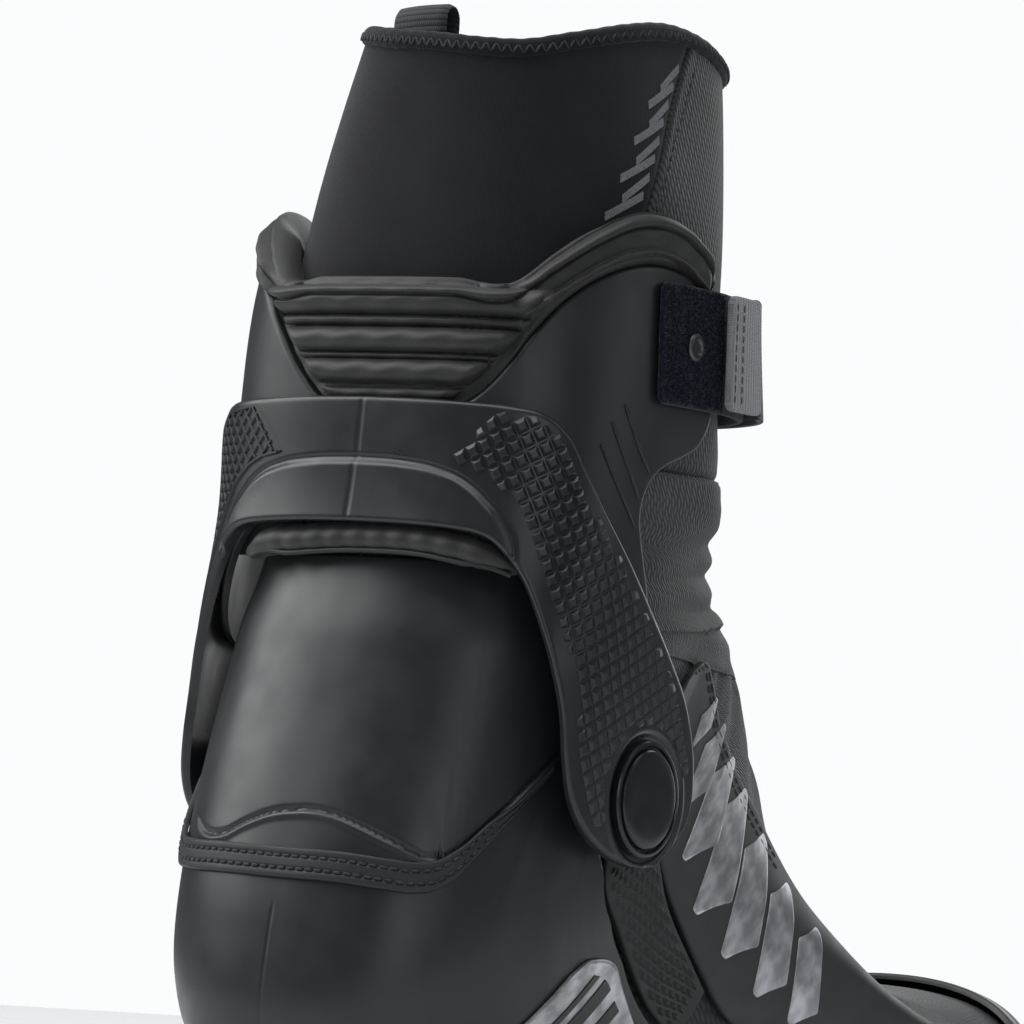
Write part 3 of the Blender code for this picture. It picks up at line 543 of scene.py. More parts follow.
knurl_look = plastic("knurl_plastic", (0.0110, 0.0116, 0.0130), 0.36, grain=0.006, object_space=True)
trim_look = plastic("trim_rubber", (0.0115, 0.0120, 0.0135), 0.55, grain=0.012)
sole_look = plastic("sole_rubber", (0.0150, 0.0152, 0.0160), 0.78, grain=0.05, object_space=True)
sole_look.tint(sole_look.noise(3, 4), (0.045, 0.044, 0.042), 0.62, 0.8)
lock_look = plastic("lock_plastic", (0.030, 0.030, 0.032), 0.4, object_space=True)
button_look = plastic("button_plastic", (0.50, 0.10, 0.03), 0.4, object_space=True)
steel_look = metal("bar_steel", (0.60, 0.60, 0.61), 0.24, (0.1, 1, 1))
bracket_look = metal("bracket_steel", (0.32, 0.32, 0.33), 0.36)
rivet_look = metal("rivet_steel", (0.10, 0.10, 0.11), 0.34)
slider_look = metal("slider_metal", (0.14, 0.14, 0.15), 0.34)
sleeve_look = knit("sleeve_knit", (0.0105, 0.0110, 0.0135))
binding_look = knit("binding_elastic", (0.0085, 0.0088, 0.0115), rib=0.45, course=0.9, depth=0.05)
thread_look = Look("stitch_thread", (0.050, 0.051, 0.055), 0.6, specular=0.4, sheen=0.2, object_space=True)
thread_look.bump(thread_look.noise(0.25, 1, (1, 1, 3)), 0.04)
thread_look.tint(thread_look.noise(1.2, 2), (0.10, 0.10, 0.105), 0.45, 0.7)
dark_thread_look = Look("dark_thread", (0.016, 0.017, 0.019), 0.6, specular=0.4, object_space=True)
dark_thread_look.bump(dark_thread_look.noise(0.25, 1), 0.04)
dark_thread_look.tint(dark_thread_look.noise(1.2, 2), (0.040, 0.042, 0.045), 0.45, 0.7)
board_look = Look("fibre_board", (0.27, 0.20, 0.13), 0.85, object_space=True)
board_look.tint(board_look.noise(0.8, 4, (1, 0.2, 1)), (0.16, 0.11, 0.07), 0.4, 0.7)
board_look.bump(board_look.noise(0.5, 3), 0.05)
insole_look = knit("insole_fabric", (0.075, 0.076, 0.082), rib=1.0, course=1.0, depth=0.06)
tongue_look = knit("tongue_fabric", (0.030, 0.031, 0.034), rib=1.2, course=1.2, depth=0.1)
lace_look = webbing("lace_cord", (0.16, 0.165, 0.175), rib=0.8, depth=0.1, object_space=True)
loop_look = webbing("loop_webbing", (0.022, 0.023, 0.026), rib=1.25, depth=0.2, along_u=True)
strap_look = webbing("strap_webbing", (0.016, 0.017, 0.020), rib=1.1, depth=0.14, along_u=True)
tab_look = webbing("tab_webbing", (0.21, 0.216, 0.228), rib=1.15, depth=0.22, along_u=False)
tape_look = webbing("zip_tape", (0.014, 0.0145, 0.016), rib=0.6, depth=0.05)
teeth_look = plastic("zip_teeth", (0.020, 0.020, 0.022), 0.3, grain=0.004, object_space=True)
pull_look = plastic("pull_rubber", (0.03, 0.031, 0.034), 0.55, grain=0.02, object_space=True)

pile_look = Look("loop_pile", (0.0060, 0.0075, 0.0150), 0.95, specular=0.15, sheen=0.2, object_space=True)
pile_look.tint(pile_look.noise(0.8, 3), (0.018, 0.024, 0.050), 0.45, 0.75)
pile_look.tint(pile_look.noise(0.5, 2), (0.10, 0.125, 0.18), 0.66, 0.78)
pile_look.bump(pile_look.noise(0.6, 3), 0.35)

foam_look = Look("foam_cloth", (0.0185, 0.0188, 0.0180), 0.52, specular=0.45, sheen=0.1)
foam_look.tint(foam_look.noise(0.7, 3), (0.028, 0.0285, 0.0270), 0.45, 0.75)
foam_look.tint(foam_look.noise(12, 3), (0.0140, 0.0142, 0.0138), 0.45, 0.85)
foam_look.bump(foam_look.noise(0.55, 3), 0.035)
piping_look = plastic("piping", (0.010, 0.0105, 0.0115), 0.55, grain=0.02, object_space=True)


def lens_fabric():
    """Stretch fabric with a raised pattern of slanted lens-shaped ribs."""
    look = Look("ribbed_stretch", (0.020, 0.0205, 0.0225), 0.66, specular=0.35, sheen=0.15)
    part = look.math("DIVIDE", look.math("ADD", look.u, look.math("MULTIPLY", look.v, 0.20)), 1.2)
    shift = look.math("MULTIPLY", look.math("MODULO", look.math("FLOOR", part), 2.0), 0.5)
    length = look.arch(look.math("ADD", look.math("DIVIDE", look.v, 3.1), shift))
    lens = look.math("MULTIPLY", look.arch(part), look.math("POWER", length, 0.6))
    look.tint(lens, (0.060, 0.062, 0.066), 0.30, 1.0)
    look.tint(look.noise(13, 3), (0.012, 0.0125, 0.014), 0.45, 0.85)
    look.bump(lens, 0.22)
    look.bump(look.noise(0.4, 2), 0.02)
    return look


lens_look = lens_fabric()
silver_look = Look("silver_film", (0.30, 0.31, 0.33), 0.33, metal=0.75)
silver_look.tint(silver_look.noise(6, 2), (0.62, 0.63, 0.66), 0.4, 0.65)
silver_look.tint(silver_look.noise(0.25, 1), (0.16, 0.165, 0.18), 0.6, 0.8)
silver_look.bump(silver_look.noise(0.25, 1), 0.01)
reflective_look = Look("reflective_print", (0.105, 0.112, 0.12), 0.5, metal=0.3)
reflective_look.tint(reflective_look.cells(0.5), (0.19, 0.20, 0.215), 0.2, 0.6)
reflective_look.bump(reflective_look.cells(0.5), 0.03)


# ---------- the cuff ----------
def coons(bottom, top, left, right, across, up):
    """A (t, z) grid between four edge lines, each a list of knots; left and right run upwards."""
    def line(knots, at):
        k = np.array(knots, float)
        d = np.concatenate([[0], np.hypot(np.diff(k[:, 0]) * 0.75, np.diff(k[:, 1])).cumsum()])
        d /= d[-1]
        return np.stack([curve(at, d, k[:, 0]), curve(at, d, k[:, 1])], -1)

    u, v = across, up
    b, t, l, r = line(bottom, u), line(top, u), line(left, v), line(right, v)
    uu, vv = u[None, :, None], v[:, None, None]
    mix = (1 - vv) * b[None] + vv * t[None] + (1 - uu) * l[:, None] + uu * r[:, None]
    corners = ((1 - uu) * (1 - vv) * b[0] + uu * (1 - vv) * b[-1] + (1 - uu) * vv * t[0] + uu * vv * t[-1])
    grid = mix - corners
    return grid[..., 0], grid[..., 1]


def both_sides(outer, inner):
    """Joins an outer-side grid and an inner-side one, given for positive t, along t = 0."""
    t = np.concatenate([-inner[0][:, :0:-1], outer[0]], 1)
    z = np.concatenate([inner[1][:, :0:-1], outer[1]], 1)
    return t, z


def arc_table(z):
    """Angles, and the millimetres they lie from the rear along the arm's face at height z."""
    t = np.radians(np.linspace(-130, 130, 521))
    p = cuff_off(t, z, ARM_FACE)
    a = np.concatenate([[0], np.linalg.norm(np.diff(p, axis=0), axis=1).cumsum()])
    return np.degrees(t), a - a[260]


ARC_T, ARC_A = arc_table(125.0)


def to_arc(t):
    return np.interp(t, ARC_T, ARC_A)


def from_arc(a):
    return np.interp(a, ARC_A, ARC_T)


def inside(x, y, outline):
    """True where the points are inside the outline, and their distance from it."""
    k = np.array(outline, float)
    n = np.roll(k, -1, 0)
    x, y = np.asarray(x, float)[..., None], np.asarray(y, float)[..., None]
    cross = (k[:, 1] > y) != (n[:, 1] > y)
    with np.errstate(divide="ignore", invalid="ignore"):
        at = (n[:, 0] - k[:, 0]) * (y - k[:, 1]) / (n[:, 1] - k[:, 1]) + k[:, 0]
    odd = (cross & (x < at)).sum(-1) % 2 == 1
    d = n - k
    w = np.clip(((x - k[:, 0]) * d[:, 0] + (y - k[:, 1]) * d[:, 1]) / (d ** 2).sum(-1), 0, 1)
    near = np.hypot(x - k[:, 0] - w * d[:, 0], y - k[:, 1] - w * d[:, 1]).min(-1)
    return odd, near


# The arm's rear and front edges from the bridge down to the pivot, in degrees and height.
REAR_EDGE = (
    (0, 139.6), (14, 139.4), (26, 138.8), (33, 137.6), (37.5, 134.6), (42, 129.5), (47, 121.3), (52, 112.6),
    (56.3, 103.5), (59.2, 94.5), (62.3, 86.5), (67, 80.4), (73.5, 76.4), (80, 74.5), (85.5, 74.0),
)
FRONT_EDGE = (
    (0, 165.2), (14, 165), (26, 164.6), (35, 164.2), (42.5, 163), (47.8, 159), (52, 151.8), (57.5, 143.5),
    (65, 135.2), (74, 126.3), (84, 117.5), (93, 108.5), (98.8, 97), (99.2, 84.5), (89.5, 74.4),
)


def frame_grid():
    knots = np.arange(len(REAR_EDGE))
    at = np.linspace(0, knots[-1], 330)
    r, f = np.array(REAR_EDGE, float), np.array(FRONT_EDGE, float)
    rear = np.stack([curve(at, knots, r[:, k]) for k in (0, 1)], -1)
    front = np.stack([curve(at, knots, f[:, k]) for k in (0, 1)], -1)
    v = positions(66, 34, 1.1)[:, None, None]
    grid = rear[None] * (1 - v) + front[None] * v
    half = (grid[..., 0], grid[..., 1])
    return both_sides(half, half)


def arch_gap(t, z):
    """Millimetres inside the arch line on the bridge; negative outside."""
    deg = np.abs(t)
    slope = (along(deg + 0.5, ARCH) - along(deg - 0.5, ARCH)) / (to_arc(deg + 0.5) - to_arc(deg - 0.5))
    gap = (along(deg, ARCH) - z) / np.sqrt(1 + slope ** 2)
    return np.where(deg > 40.9, -5, gap)


def ring_gap(t, z):
    """Distance from the pivot's axis."""
    return np.hypot(cuff_off(np.radians(t), z, ARM_FACE)[..., 1], z - PIVOT_Z)


def make_frame():
    t, z = frame_grid()

    def relief(rad, z, base):
        deg = np.degrees(rad)
        gap = arch_gap(deg, z)
        step = 0.75 * smooth(gap, -0.1, 1.1)
        groove = -0.35 * np.exp(-((gap + 0.6) / 0.45) ** 2)
        x = base[..., 0]
        parting = -0.30 * np.exp(-((x + 0.2) / 0.22) ** 2) * smooth(np.abs(deg), 9, 7)
        ring = ring_gap(deg, z)
        recess = -0.9 * smooth(ring, 13.4, 12.6)
        lip = 0.25 * np.exp(-((ring - 14.3) / 0.5) ** 2)
        return step + groove + parting + recess + lip

    patch("cuff_frame_moulding", cuff_off, np.radians(t), z, ARM_BACK, ARM_FACE, frame_look, "cuff",
          "cuff_frame", r=1.1, relief=relief, sharp=50)


# Outlines of the relief on the arms, in degrees and height; both share the part round the pivot.
ARM_RELIEF = (
    (45.8, 158.2), (49.6, 150.6), (55, 142.4), (62.5, 134), (71.5, 125), (81.5, 116), (90.5, 107.2), (95.8, 97),
    (96.2, 86.5), (90.5, 77.6), (85, 76.6), (76, 78.6), (70, 82.2), (65.5, 88), (62.6, 96), (59.6, 105),
    (55.2, 114.5), (50.4, 123), (45.6, 131.4),
)
OUTER_RELIEF = (
    (24.5, 152.6), (33.5, 162.2), (41, 161.3), *ARM_RELIEF, (43, 138), (40, 143.5), (34.5, 149), (29, 151.6),
)
INNER_RELIEF = (
    (21.5, 153.4), (30, 162.8), (41, 161.4), *ARM_RELIEF, (41.5, 139), (36.5, 146.5), (31, 150.6), (27, 152.4),
)


def in_arc(outline):
    return [(float(to_arc(t)), z) for t, z in outline]


def on_frame(a, z, off, side=1):
    return cuff_off(np.radians(side * from_arc(a)), z, off)


def studs(name, points, base, top, look, body):
    """Raised studs of eight points each, four round the base and then four round the top."""
    faces = []
    for b in range(0, len(points), 8):
        faces += [tuple(b + k for k in base), tuple(b + k for k in top)]
        faces += [(b + q, b + (q + 1) % 4, b + 4 + (q + 1) % 4, b + 4 + q) for q in range(4)]
    place(name, points, faces, look, body, sharp=20)


def make_outer_knurl():
    """Small raised squares over the outer arm, in rows square to the arm."""
    tilt, height = math.radians(29), 0.66
    e1, e2 = np.array([math.cos(tilt), math.sin(tilt)]), np.array([-math.sin(tilt), math.cos(tilt)])
    p1, p2 = 2.9, 3.15
    outline = in_arc(OUTER_RELIEF)

    def room_at(a, z):
        """Distance inside the outline, negative outside, and distance from the ring round the pivot."""
        odd, near = inside(a, z, outline)
        return np.where(odd, near, -near), ring_gap(from_arc(a), z) - PIVOT_CLEAR

    i, j = np.meshgrid(np.arange(-40, 60), np.arange(-50, 60), indexing="ij")
    a = 30 + i * p1 * e1[0] + j * p2 * e2[0]
    z = 120 + i * p1 * e1[1] + j * p2 * e2[1]
    near, ring = room_at(a, z)
    keep = (near > -0.8) & (ring > 0)
    a, z = a[keep], z[keep]
    points = []
    for half, is_top in ((0.495, False), (0.20, True)):
        for s1, s2 in ((-1, -1), (1, -1), (1, 1), (-1, 1)):
            u, v = s1 * half * p1, s2 * half * p2
            at, level = a + u * e1[0] + v * e2[0], z + u * e1[1] + v * e2[1]
            near, ring = room_at(at, level)
            room = np.minimum(near + 0.9, ring)
            off = ARM_FACE + height * np.clip(room, -1.5, 1) if is_top else 4.28 + 0.8 * np.minimum(room, 0)
            points.append(on_frame(at, level, off))
    studs("outer_arm_knurl", np.stack(points, 1).reshape(-1, 3), (0, 3, 2, 1), (4, 5, 6, 7), knurl_look, "cuff")


def ridge(path_a, path_z, width, height, side, points, faces):
    """A thin raised line on the frame's face, closed at both ends."""
    a, z = np.asarray(path_a), np.asarray(path_z)
    da, dz = np.gradient(a), np.gradient(z)
    n = np.hypot(da, dz)
    na, nz = -dz / n, da / n
    start = sum(len(p) for p in points)
    rows = []
    for off, lift in ((-1, -0.3), (-0.45, 1), (0.45, 1), (1, -0.3)):
        rows.append(on_frame(a + na * off * width / 2, z + nz * off * width / 2, ARM_FACE + height * lift, side))
    grid = np.stack(rows, 1)
    points.append(grid.reshape(-1, 3))
    count = len(a)
    for k in range(count - 1):
        for q in range(4):
            b = (q + 1) % 4
            row = start + k * 4
            faces.append((row + q, row + b, row + 4 + b, row + 4 + q))
    faces.append((start, start + 3, start + 2, start + 1))
    e = start + (count - 1) * 4
    faces.append((e, e + 1, e + 2, e + 3))


def make_inner_lattice():
    """Fine crossing ridges over the inner arm."""
    outline = in_arc(INNER_RELIEF)
    points, faces = [], []
    for slope in (1.16, -1.16):
        for k in range(-60, 90):
            z = np.arange(70, 170, 0.5)
            a = k * 3.35 + (z - 120) / slope
            ok = inside(a, z, outline)[0] & (ring_gap(from_arc(a), z) > PIVOT_CLEAR + 0.1)
            edges = np.flatnonzero(np.diff(np.concatenate([[0], ok.astype(int), [0]])))
            for start, end in zip(edges[::2], edges[1::2]):
                if end - start > 4:
                    ridge(a[start:end], z[start:end], 0.75, 0.42, -1, points, faces)
    closed = np.array(outline)
    around = np.concatenate([closed, closed[:1]])
    d = np.concatenate([[0], np.hypot(*np.diff(around, axis=0).T).cumsum()])
    at = np.arange(0, d[-1], 0.8)
    ridge(np.interp(at, d, around[:, 0]), np.interp(at, d, around[:, 1]), 0.9, 0.42, -1, points, faces)
    place("inner_arm_lattice", np.concatenate(points), faces, knurl_look, "cuff", sharp=25)


# Outline of the shell over the heel, in degrees and height; its inner side runs up a little earlier.
SHELL_LOW = ((0, 141), (20, 141), (34, 138.5), (44, 131.5), (54, 121), (64, 115), (74, 113.5), (80, 113))
SHELL_FRONT = ((80, 113), (79, 119.5), (76.5, 126.2), (74.8, 130), (72.5, 134.8), (70.6, 139.2), (69.2, 143.6),
               (69.6, 148), (72, 152), (77, 155.3), (84.5, 157.8), (91.5, 160.4), (96, 164.5), (98, 171),
               (97.6, 178.5), (95.8, 185.5), (92.5, 190.5))
SHELL_TOP = ((0, 162), (14, 162.4), (22, 163.2), (26.5, 165), (31, 168.6), (35, 173.2), (40, 180), (46, 186.2),
             (53, 191), (60, 194), (68, 195.8), (76, 196), (85, 194.6), (92.5, 190.5))
INNER_TOP = ((0, 162), (7, 162.4), (12.5, 163.4), (16.5, 165.8), (20, 168.6), (25, 173.6), (31, 180.4),
             (38, 187), (47, 191.8), (56, 194.6), (68, 195.8), (76, 196), (85, 194.6), (92.5, 190.5))


def shell_grid():
    """The shell's grid, closely spaced at its rounded edges."""
    u, v = positions(150, 100, 0.9), positions(96, 60, 0.9)
    left = ((0, 141), (0, 162))
    outer = coons(SHELL_LOW, SHELL_TOP, left, SHELL_FRONT, u, v)
    inner = coons(SHELL_LOW, INNER_TOP, left, SHELL_FRONT, u, v)
    return both_sides(outer, inner)


# Raised lines beside the shell's slits, in degrees and height.
SLIT_LINES = (
    ((62, 166.8), (64.9, 161.5), (68, 156.8), (71, 153.6)),
    ((58.5, 163), (61.5, 157.5), (64.6, 152.5), (67.5, 148)),
    ((55.8, 158.2), (59.5, 152), (63.4, 146.6), (67.2, 142)),
)


def make_shell():
    t, z = shell_grid()
    patch("cuff_shell_moulding", cuff_off, np.radians(t), z, 0.0, SHELL_FACE, shell_look, "cuff", "cuff_shell",
          r=0.9, sharp=50)
    for side, word in ((1, "outer"), (-1, "inner")):
        for n, line in enumerate(SLIT_LINES):
            k = np.array(line, float)[::-1]
            level = np.linspace(k[0, 1], k[-1, 1], 60)
            path = cuff_off(np.radians(side * curve(level, k[:, 1], k[:, 0])), level, SHELL_FACE + 0.03)
            cord("shell_rib_%s_%d" % (word, n + 1), path, 0.36, shell_look, "cuff",
                 profile=np.interp(np.linspace(0, 1, 60), (0, 0.1, 0.9, 1), (0.35, 0.8, 1.1, 0.9)))


def pad_top(deg):
    """Height of the collar's roll; the notch sits a little to the inner side."""
    d = np.asarray(deg, float)
    d = np.where(d < 0, -d + 3 * smooth(-d, 0, 30) - 3 * smooth(-d, 40, 80), d)
    return along(np.clip(d, 0, 98), PAD_TOP)


def shell_top(deg):
    deg = np.asarray(deg, float)
    return np.where(deg > 0, along(np.clip(deg, 0, 92), SHELL_TOP), along(np.clip(-deg, 0, 92), INNER_TOP))


# The collar's ribs in the rear notch: height of the middle, half height, and how far each stands out.
RIBS = (
    (166.0, 1.3, 1.3), (170.5, 2.5, 2.7), (173.7, 0.6, 1.3), (177.0, 2.5, 2.9), (180.9, 1.0, 1.6), (185.1, 2.9, 3.1),
)


def make_collar():
    """Foam collar: a rolled rim, then sewn ribs in the notch at the rear."""
    deg = np.concatenate([np.linspace(-97, -45, 110), np.linspace(-44.6, 44.6, 300), np.linspace(45, 97, 110)])
    top = pad_top(deg)
    end = smooth(np.abs(deg), 97, 90)
    low = np.where(np.abs(deg) > 30, shell_top(deg) - 6.5, 163.0)
    low = np.minimum(low, top - 12)
    count = 120
    v = np.linspace(0, 1, count)[:, None]
    z = low[None] * (1 - v) + (top[None] - 0.2) * v
    t = np.repeat(np.radians(deg)[None], count, 0)
    edge = shell_top(deg)[None]
    above = z - edge
    d = np.repeat(deg[None], count, 0)
    off = 0.6 + 0 * z
    levels = (163, 166, 170, 178, 184.6, 186)
    notch_end = np.interp(z, levels, (20.5, 23.5, 28.5, 36, 41, 43))
    notch_start = np.interp(z, levels, (-11.5, -14, -19.5, -27, -33.5, -35))
    room = np.minimum(notch_end - d, d - notch_start)
    for centre, half, height in RIBS:
        off += height * round_edge(z - centre, half) * np.sqrt(np.clip(room / 3.2, 0, 1))
    from_top = top[None] - z
    rear = smooth(np.abs(d), 41, 34)
    roll = 2.9 * round_edge(from_top - 4.4, 4.2) * (1 - rear)
    inner_side = 1 - 0.9 * smooth(d, -48, -62)
    off += roll * end * inner_side
    off += 1.5 * round_edge(from_top - 1.2, 1.6) * (0.5 + 0.5 * end)
    body = 1.9 * smooth(above, -0.4, 1.6) * (1 - rear) * end * inner_side
    off += body * np.where(from_top > 8.0, 1.0, smooth(from_top, 7, 8.2))
    off -= 0.5 * np.exp(-((from_top - 3.0) / 0.35) ** 2)
    under = smooth(z, edge - 0.6, edge + 0.5)
    shown = np.maximum(under, smooth(room, -1.5, 0.3))
    off = off * shown + np.minimum(off, -0.8) * (1 - shown)
    off += 0.18 * np.sin(t * 31 + 0.4) * np.sin(z * 0.9) * (off > 0)
    outer = cuff_off(t, z, off)
    lip = np.linspace(0, math.pi * 0.94, 12)[1:, None]
    crest = cuff_off(np.radians(deg), top, off[-1])
    recess = 1.6 + 6.5 * smooth(np.abs(deg), 46, 62)
    hidden = sleeve_off(np.radians(deg), top - recess, 0.75)
    mid, half = (crest + hidden) / 2, (crest - hidden) / 2
    rise = np.array([0, 0, 1.0])
    arc = mid[None] + half[None] * np.cos(lip)[..., None] + rise * (1.5 * np.sin(lip))[..., None]
    outer = np.concatenate([outer, arc], 0)
    back = sleeve_off(t, np.minimum(z, top[None] - recess - 0.6), 0.75)
    share = np.linspace(0, 1, len(lip))[:, None, None]
    inner = np.concatenate([back, back[-1] * (1 - share) + hidden[None] * share], 0)
    made = solid("collar_foam", outer, inner, foam_look, "cuff", "collar_pad", sharp=55)
    return made


def make_roll():
    """The padded roll under the bridge, with its piping."""
    line = ((-35, 134.2), (-28, 137.8), (-16, 139), (4.8, 140), (23.5, 139.2), (34.8, 136.8), (42, 133.2))
    deg = np.linspace(-35, 42, 160)
    t = np.radians(deg)[None, :]
    high = along(deg, line)
    ends = np.sqrt(np.clip(np.minimum(deg + 35, 42 - deg) / 9, 0, 1))
    a = np.linspace(0, math.pi, 22)[:, None]
    thick = 6.0 * (0.3 + 0.7 * ends)
    z = high[None] - thick[None] * (1 - np.cos(a)) / 2
    bulge = -0.9 + 3.9 * np.sin(a) ** 0.8 * (0.3 + 0.7 * ends[None]) + 0.12 * np.sin(t * 60)
    outer = cuff_off(t, z, bulge)[::-1]
    inner = cuff_off(t, z, -1.3)[::-1]
    side = np.radians(np.linspace(-44, -18, 40))[None]
    level = np.linspace(132.5, 152, 30)[:, None]
    solid("lower_roll_backing", cuff_off(side, level, -0.2), cuff_off(side, level, -1.2), piping_look, "cuff",
          slot="lower_roll")
    made = solid("lower_roll_foam", outer, inner, foam_look, "cuff", "lower_roll", sharp=70)
    deg = np.linspace(-31, 40, 120)
    below = np.interp(deg, (-31, -20, 30, 40), (4.4, 6.1, 6.1, 4.0))
    path = cuff_off(np.radians(deg), along(deg, line) - below, 1.35)
    cord("lower_roll_piping", path, 0.55, piping_look, "cuff")


def rim(t):
    """Height of the sleeve's upper edge round the leg."""
    return along((np.degrees(t) + 180.0) % 360.0 - 180.0, RIM)


def seam(z):
    """Degrees from the rear to the seam between sleeve and front panel."""
    return np.interp(z, (150, 190, 206, 225, 244), (66, 68, 72, 82.7, 97))


def folds(t, z):
    """Soft unevenness of the stretch cloth."""
    return 0.35 * np.sin(3 * t + z * 0.05) * np.sin(z * 0.085 + 1.1) + 0.15 * np.sin(7 * t + z * 0.11)


SLEEVE_FOOT = 150.0  # height of the sleeve's lower edge
SLEEVE_BACK = -3.0  # offset of its inside face


def make_sleeve():
    v = positions(130, 90, 0.6)[:, None]
    level = SLEEVE_FOOT + (RIM_REAR_Z + 1.0 - SLEEVE_FOOT) * v

    def height(t):
        return SLEEVE_FOOT + (rim(t) - 3.4 - SLEEVE_FOOT) * v

    w = np.linspace(-1, 1, 260)[None, :]
    t = np.radians(seam(level) - 0.15) * w
    z = height(t)
    off = folds(t, z) * smooth(z, 150, 200) - 0.9 * smooth(z, 157, 154.5)
    gap = (1 - np.abs(w)) * np.radians(seam(level)) * 40
    off = off - 0.7 * np.exp(-gap ** 2)
    solid("sleeve_neoprene", sleeve_off(t, z, off), sleeve_off(t, z, SLEEVE_BACK), sleeve_look, "cuff",
          "ankle_sleeve", sharp=70)
    side = math.pi - np.radians(seam(level) + 0.15)
    w = np.linspace(-1, 1, 240)[None, :]
    t = math.pi + side * w
    z = height(t)
    gap = (1 - np.abs(w)) * side * 40
    off = folds(t, z) * smooth(z, 154, 162) + 0.55 * np.exp(-(gap / 1.6) ** 2) - 0.1
    off = off - 0.8 * smooth(z, 157, 154.5)
    off = off - 0.8 * np.exp(-(gap / 0.5) ** 2)
    solid("front_stretch_panel", sleeve_off(t, z, off), sleeve_off(t, z, SLEEVE_BACK), lens_look, "cuff",
          "front_panel", sharp=70)
    for sign, word in ((1, "outer"), (-1, "inner")):
        z = np.linspace(190, 240, 120)
        rad = sign * np.radians(seam(z) + 2.1)
        z = np.minimum(z, rim(rad) - 5.0)
        line, ahead = even_path(sleeve_off(rad, z, 0.55), 2.6)
        beads("sleeve_seam_stitches_" + word, line, ahead, line * (1, 1, 0) - (0, 22, 0), (1.9, 0.5, 0.45),
              dark_thread_look, "cuff")


def make_sleeve_marks():
    """Plain slanted strokes of dull reflective print beside the seam, in place of any lettering."""
    for n in range(8):
        u, v = np.linspace(0, 1, 14)[None], positions(9, 2.1, 0.3)[:, None]
        low = 207.0 + 4.15 * n
        reach_back = 12.5 - 3.0 * (n % 2)
        deg = float(seam(low + 2.0)) - 3.6 - reach_back * (1 - u)
        z = low + 1.8 * v + 5.6 * (u - 0.5)
        t = np.radians(deg + 0 * v)
        base = folds(t, z) * smooth(z, 150, 200)
        solid("sleeve_mark_%d" % (n + 1), sleeve_off(t, z, base + 0.16), sleeve_off(t, z, base - 0.5),
              reflective_look, "cuff", slot="ankle_sleeve", sharp=70)


def make_binding():
    """Elastic binding folded over the sleeve's rim, with zigzag stitches round its outside."""
    t = np.linspace(0, TAU, 420, endpoint=False)
    ripple = 0.06 * np.sin(t * 62) + 0.12 * np.sin(t * 9 + 1.0)
    high = rim(t) + ripple - 0.45
    a = np.linspace(0, TAU, 26, endpoint=False)[:, None]
    centre = -1.15
    wide, tall = 2.3, 2.1
    off = centre + wide * np.sign(np.cos(a)) * np.abs(np.cos(a)) ** 0.75 + 0 * t
    z = high[None] - tall + tall * np.sign(np.sin(a)) * np.abs(np.sin(a)) ** 0.8
    off = off + 0.05 * np.sin(t * 62 + 1.5)[None] * np.clip(np.sin(a), 0, 1)
    grid = sleeve_off(t[None] + 0 * a, z, off)
    rows, cols = grid.shape[:2]
    i, j = np.meshgrid(np.arange(rows), np.arange(cols), indexing="ij")
    b, c = (i + 1) % rows, (j + 1) % cols
    faces = np.stack([i * cols + j, i * cols + c, b * cols + c, b * cols + j], -1).reshape(-1, 4)
    around = np.concatenate([[0], np.linalg.norm(np.diff(grid[0], axis=0), axis=1).cumsum()])
    uv = np.stack(np.broadcast_arrays(around[None], np.arange(rows)[:, None] * 0.6), -1).reshape(-1, 2)
    place("rim_binding", grid.reshape(-1, 3), faces, binding_look, "cuff", "top_binding",
          uv=uv, sharp=80)
    at, ahead, normal = [], [], []
    count = int(around[-1] / 1.15)
    for k in range(count):
        a0, a1 = k * TAU / count, (k + 1) * TAU / count
        za, zb = rim(a0) - 3.75, rim(a0) - 1.95
        if k % 2 == 0:
            za, zb = zb, za
        p, q = sleeve_off(a0, za, 1.2), sleeve_off(a1, zb, 1.2)
        at.append((p + q) / 2)
        ahead.append(q - p)
        middle = (a0 + a1) / 2, (za + zb) / 2
        normal.append(sleeve_off(*middle, 3) - sleeve_off(*middle, 0))
    size = np.linalg.norm(np.array(ahead), axis=1)
    beads("rim_binding_stitches", at, ahead, normal, np.stack([size * 0.95, 0 * size + 0.5, 0 * size + 0.42], -1),
          dark_thread_look, "cuff")


def ribbon(name, line, width, thick, look, body, replaces, x0, bend):
    """A strap of webbing along a (y, z) line, centred on x0; bend curves it round the leg."""
    line = np.asarray(line, float)
    ahead = np.gradient(line, axis=0)
    ahead /= np.linalg.norm(ahead, axis=1, keepdims=True)
    normal = np.stack([-ahead[:, 1], ahead[:, 0]], -1)
    xs = np.linspace(-width / 2, width / 2, 17)
    drop = np.clip((np.abs(xs) - width / 2 + 0.6) / 0.6, 0, 1) ** 2 * thick * 0.4

    def grid(off, sign):
        pts = line[:, None] + normal[:, None] * (off - sign * drop[None, :, None])
        x = np.broadcast_to(x0 + xs, pts.shape[:2])
        return np.stack([x, pts[..., 0] + bend * x * x, pts[..., 1]], -1)

    return solid(name, grid(thick, 1), grid(0.0, -1), look, body, replaces, sharp=50)


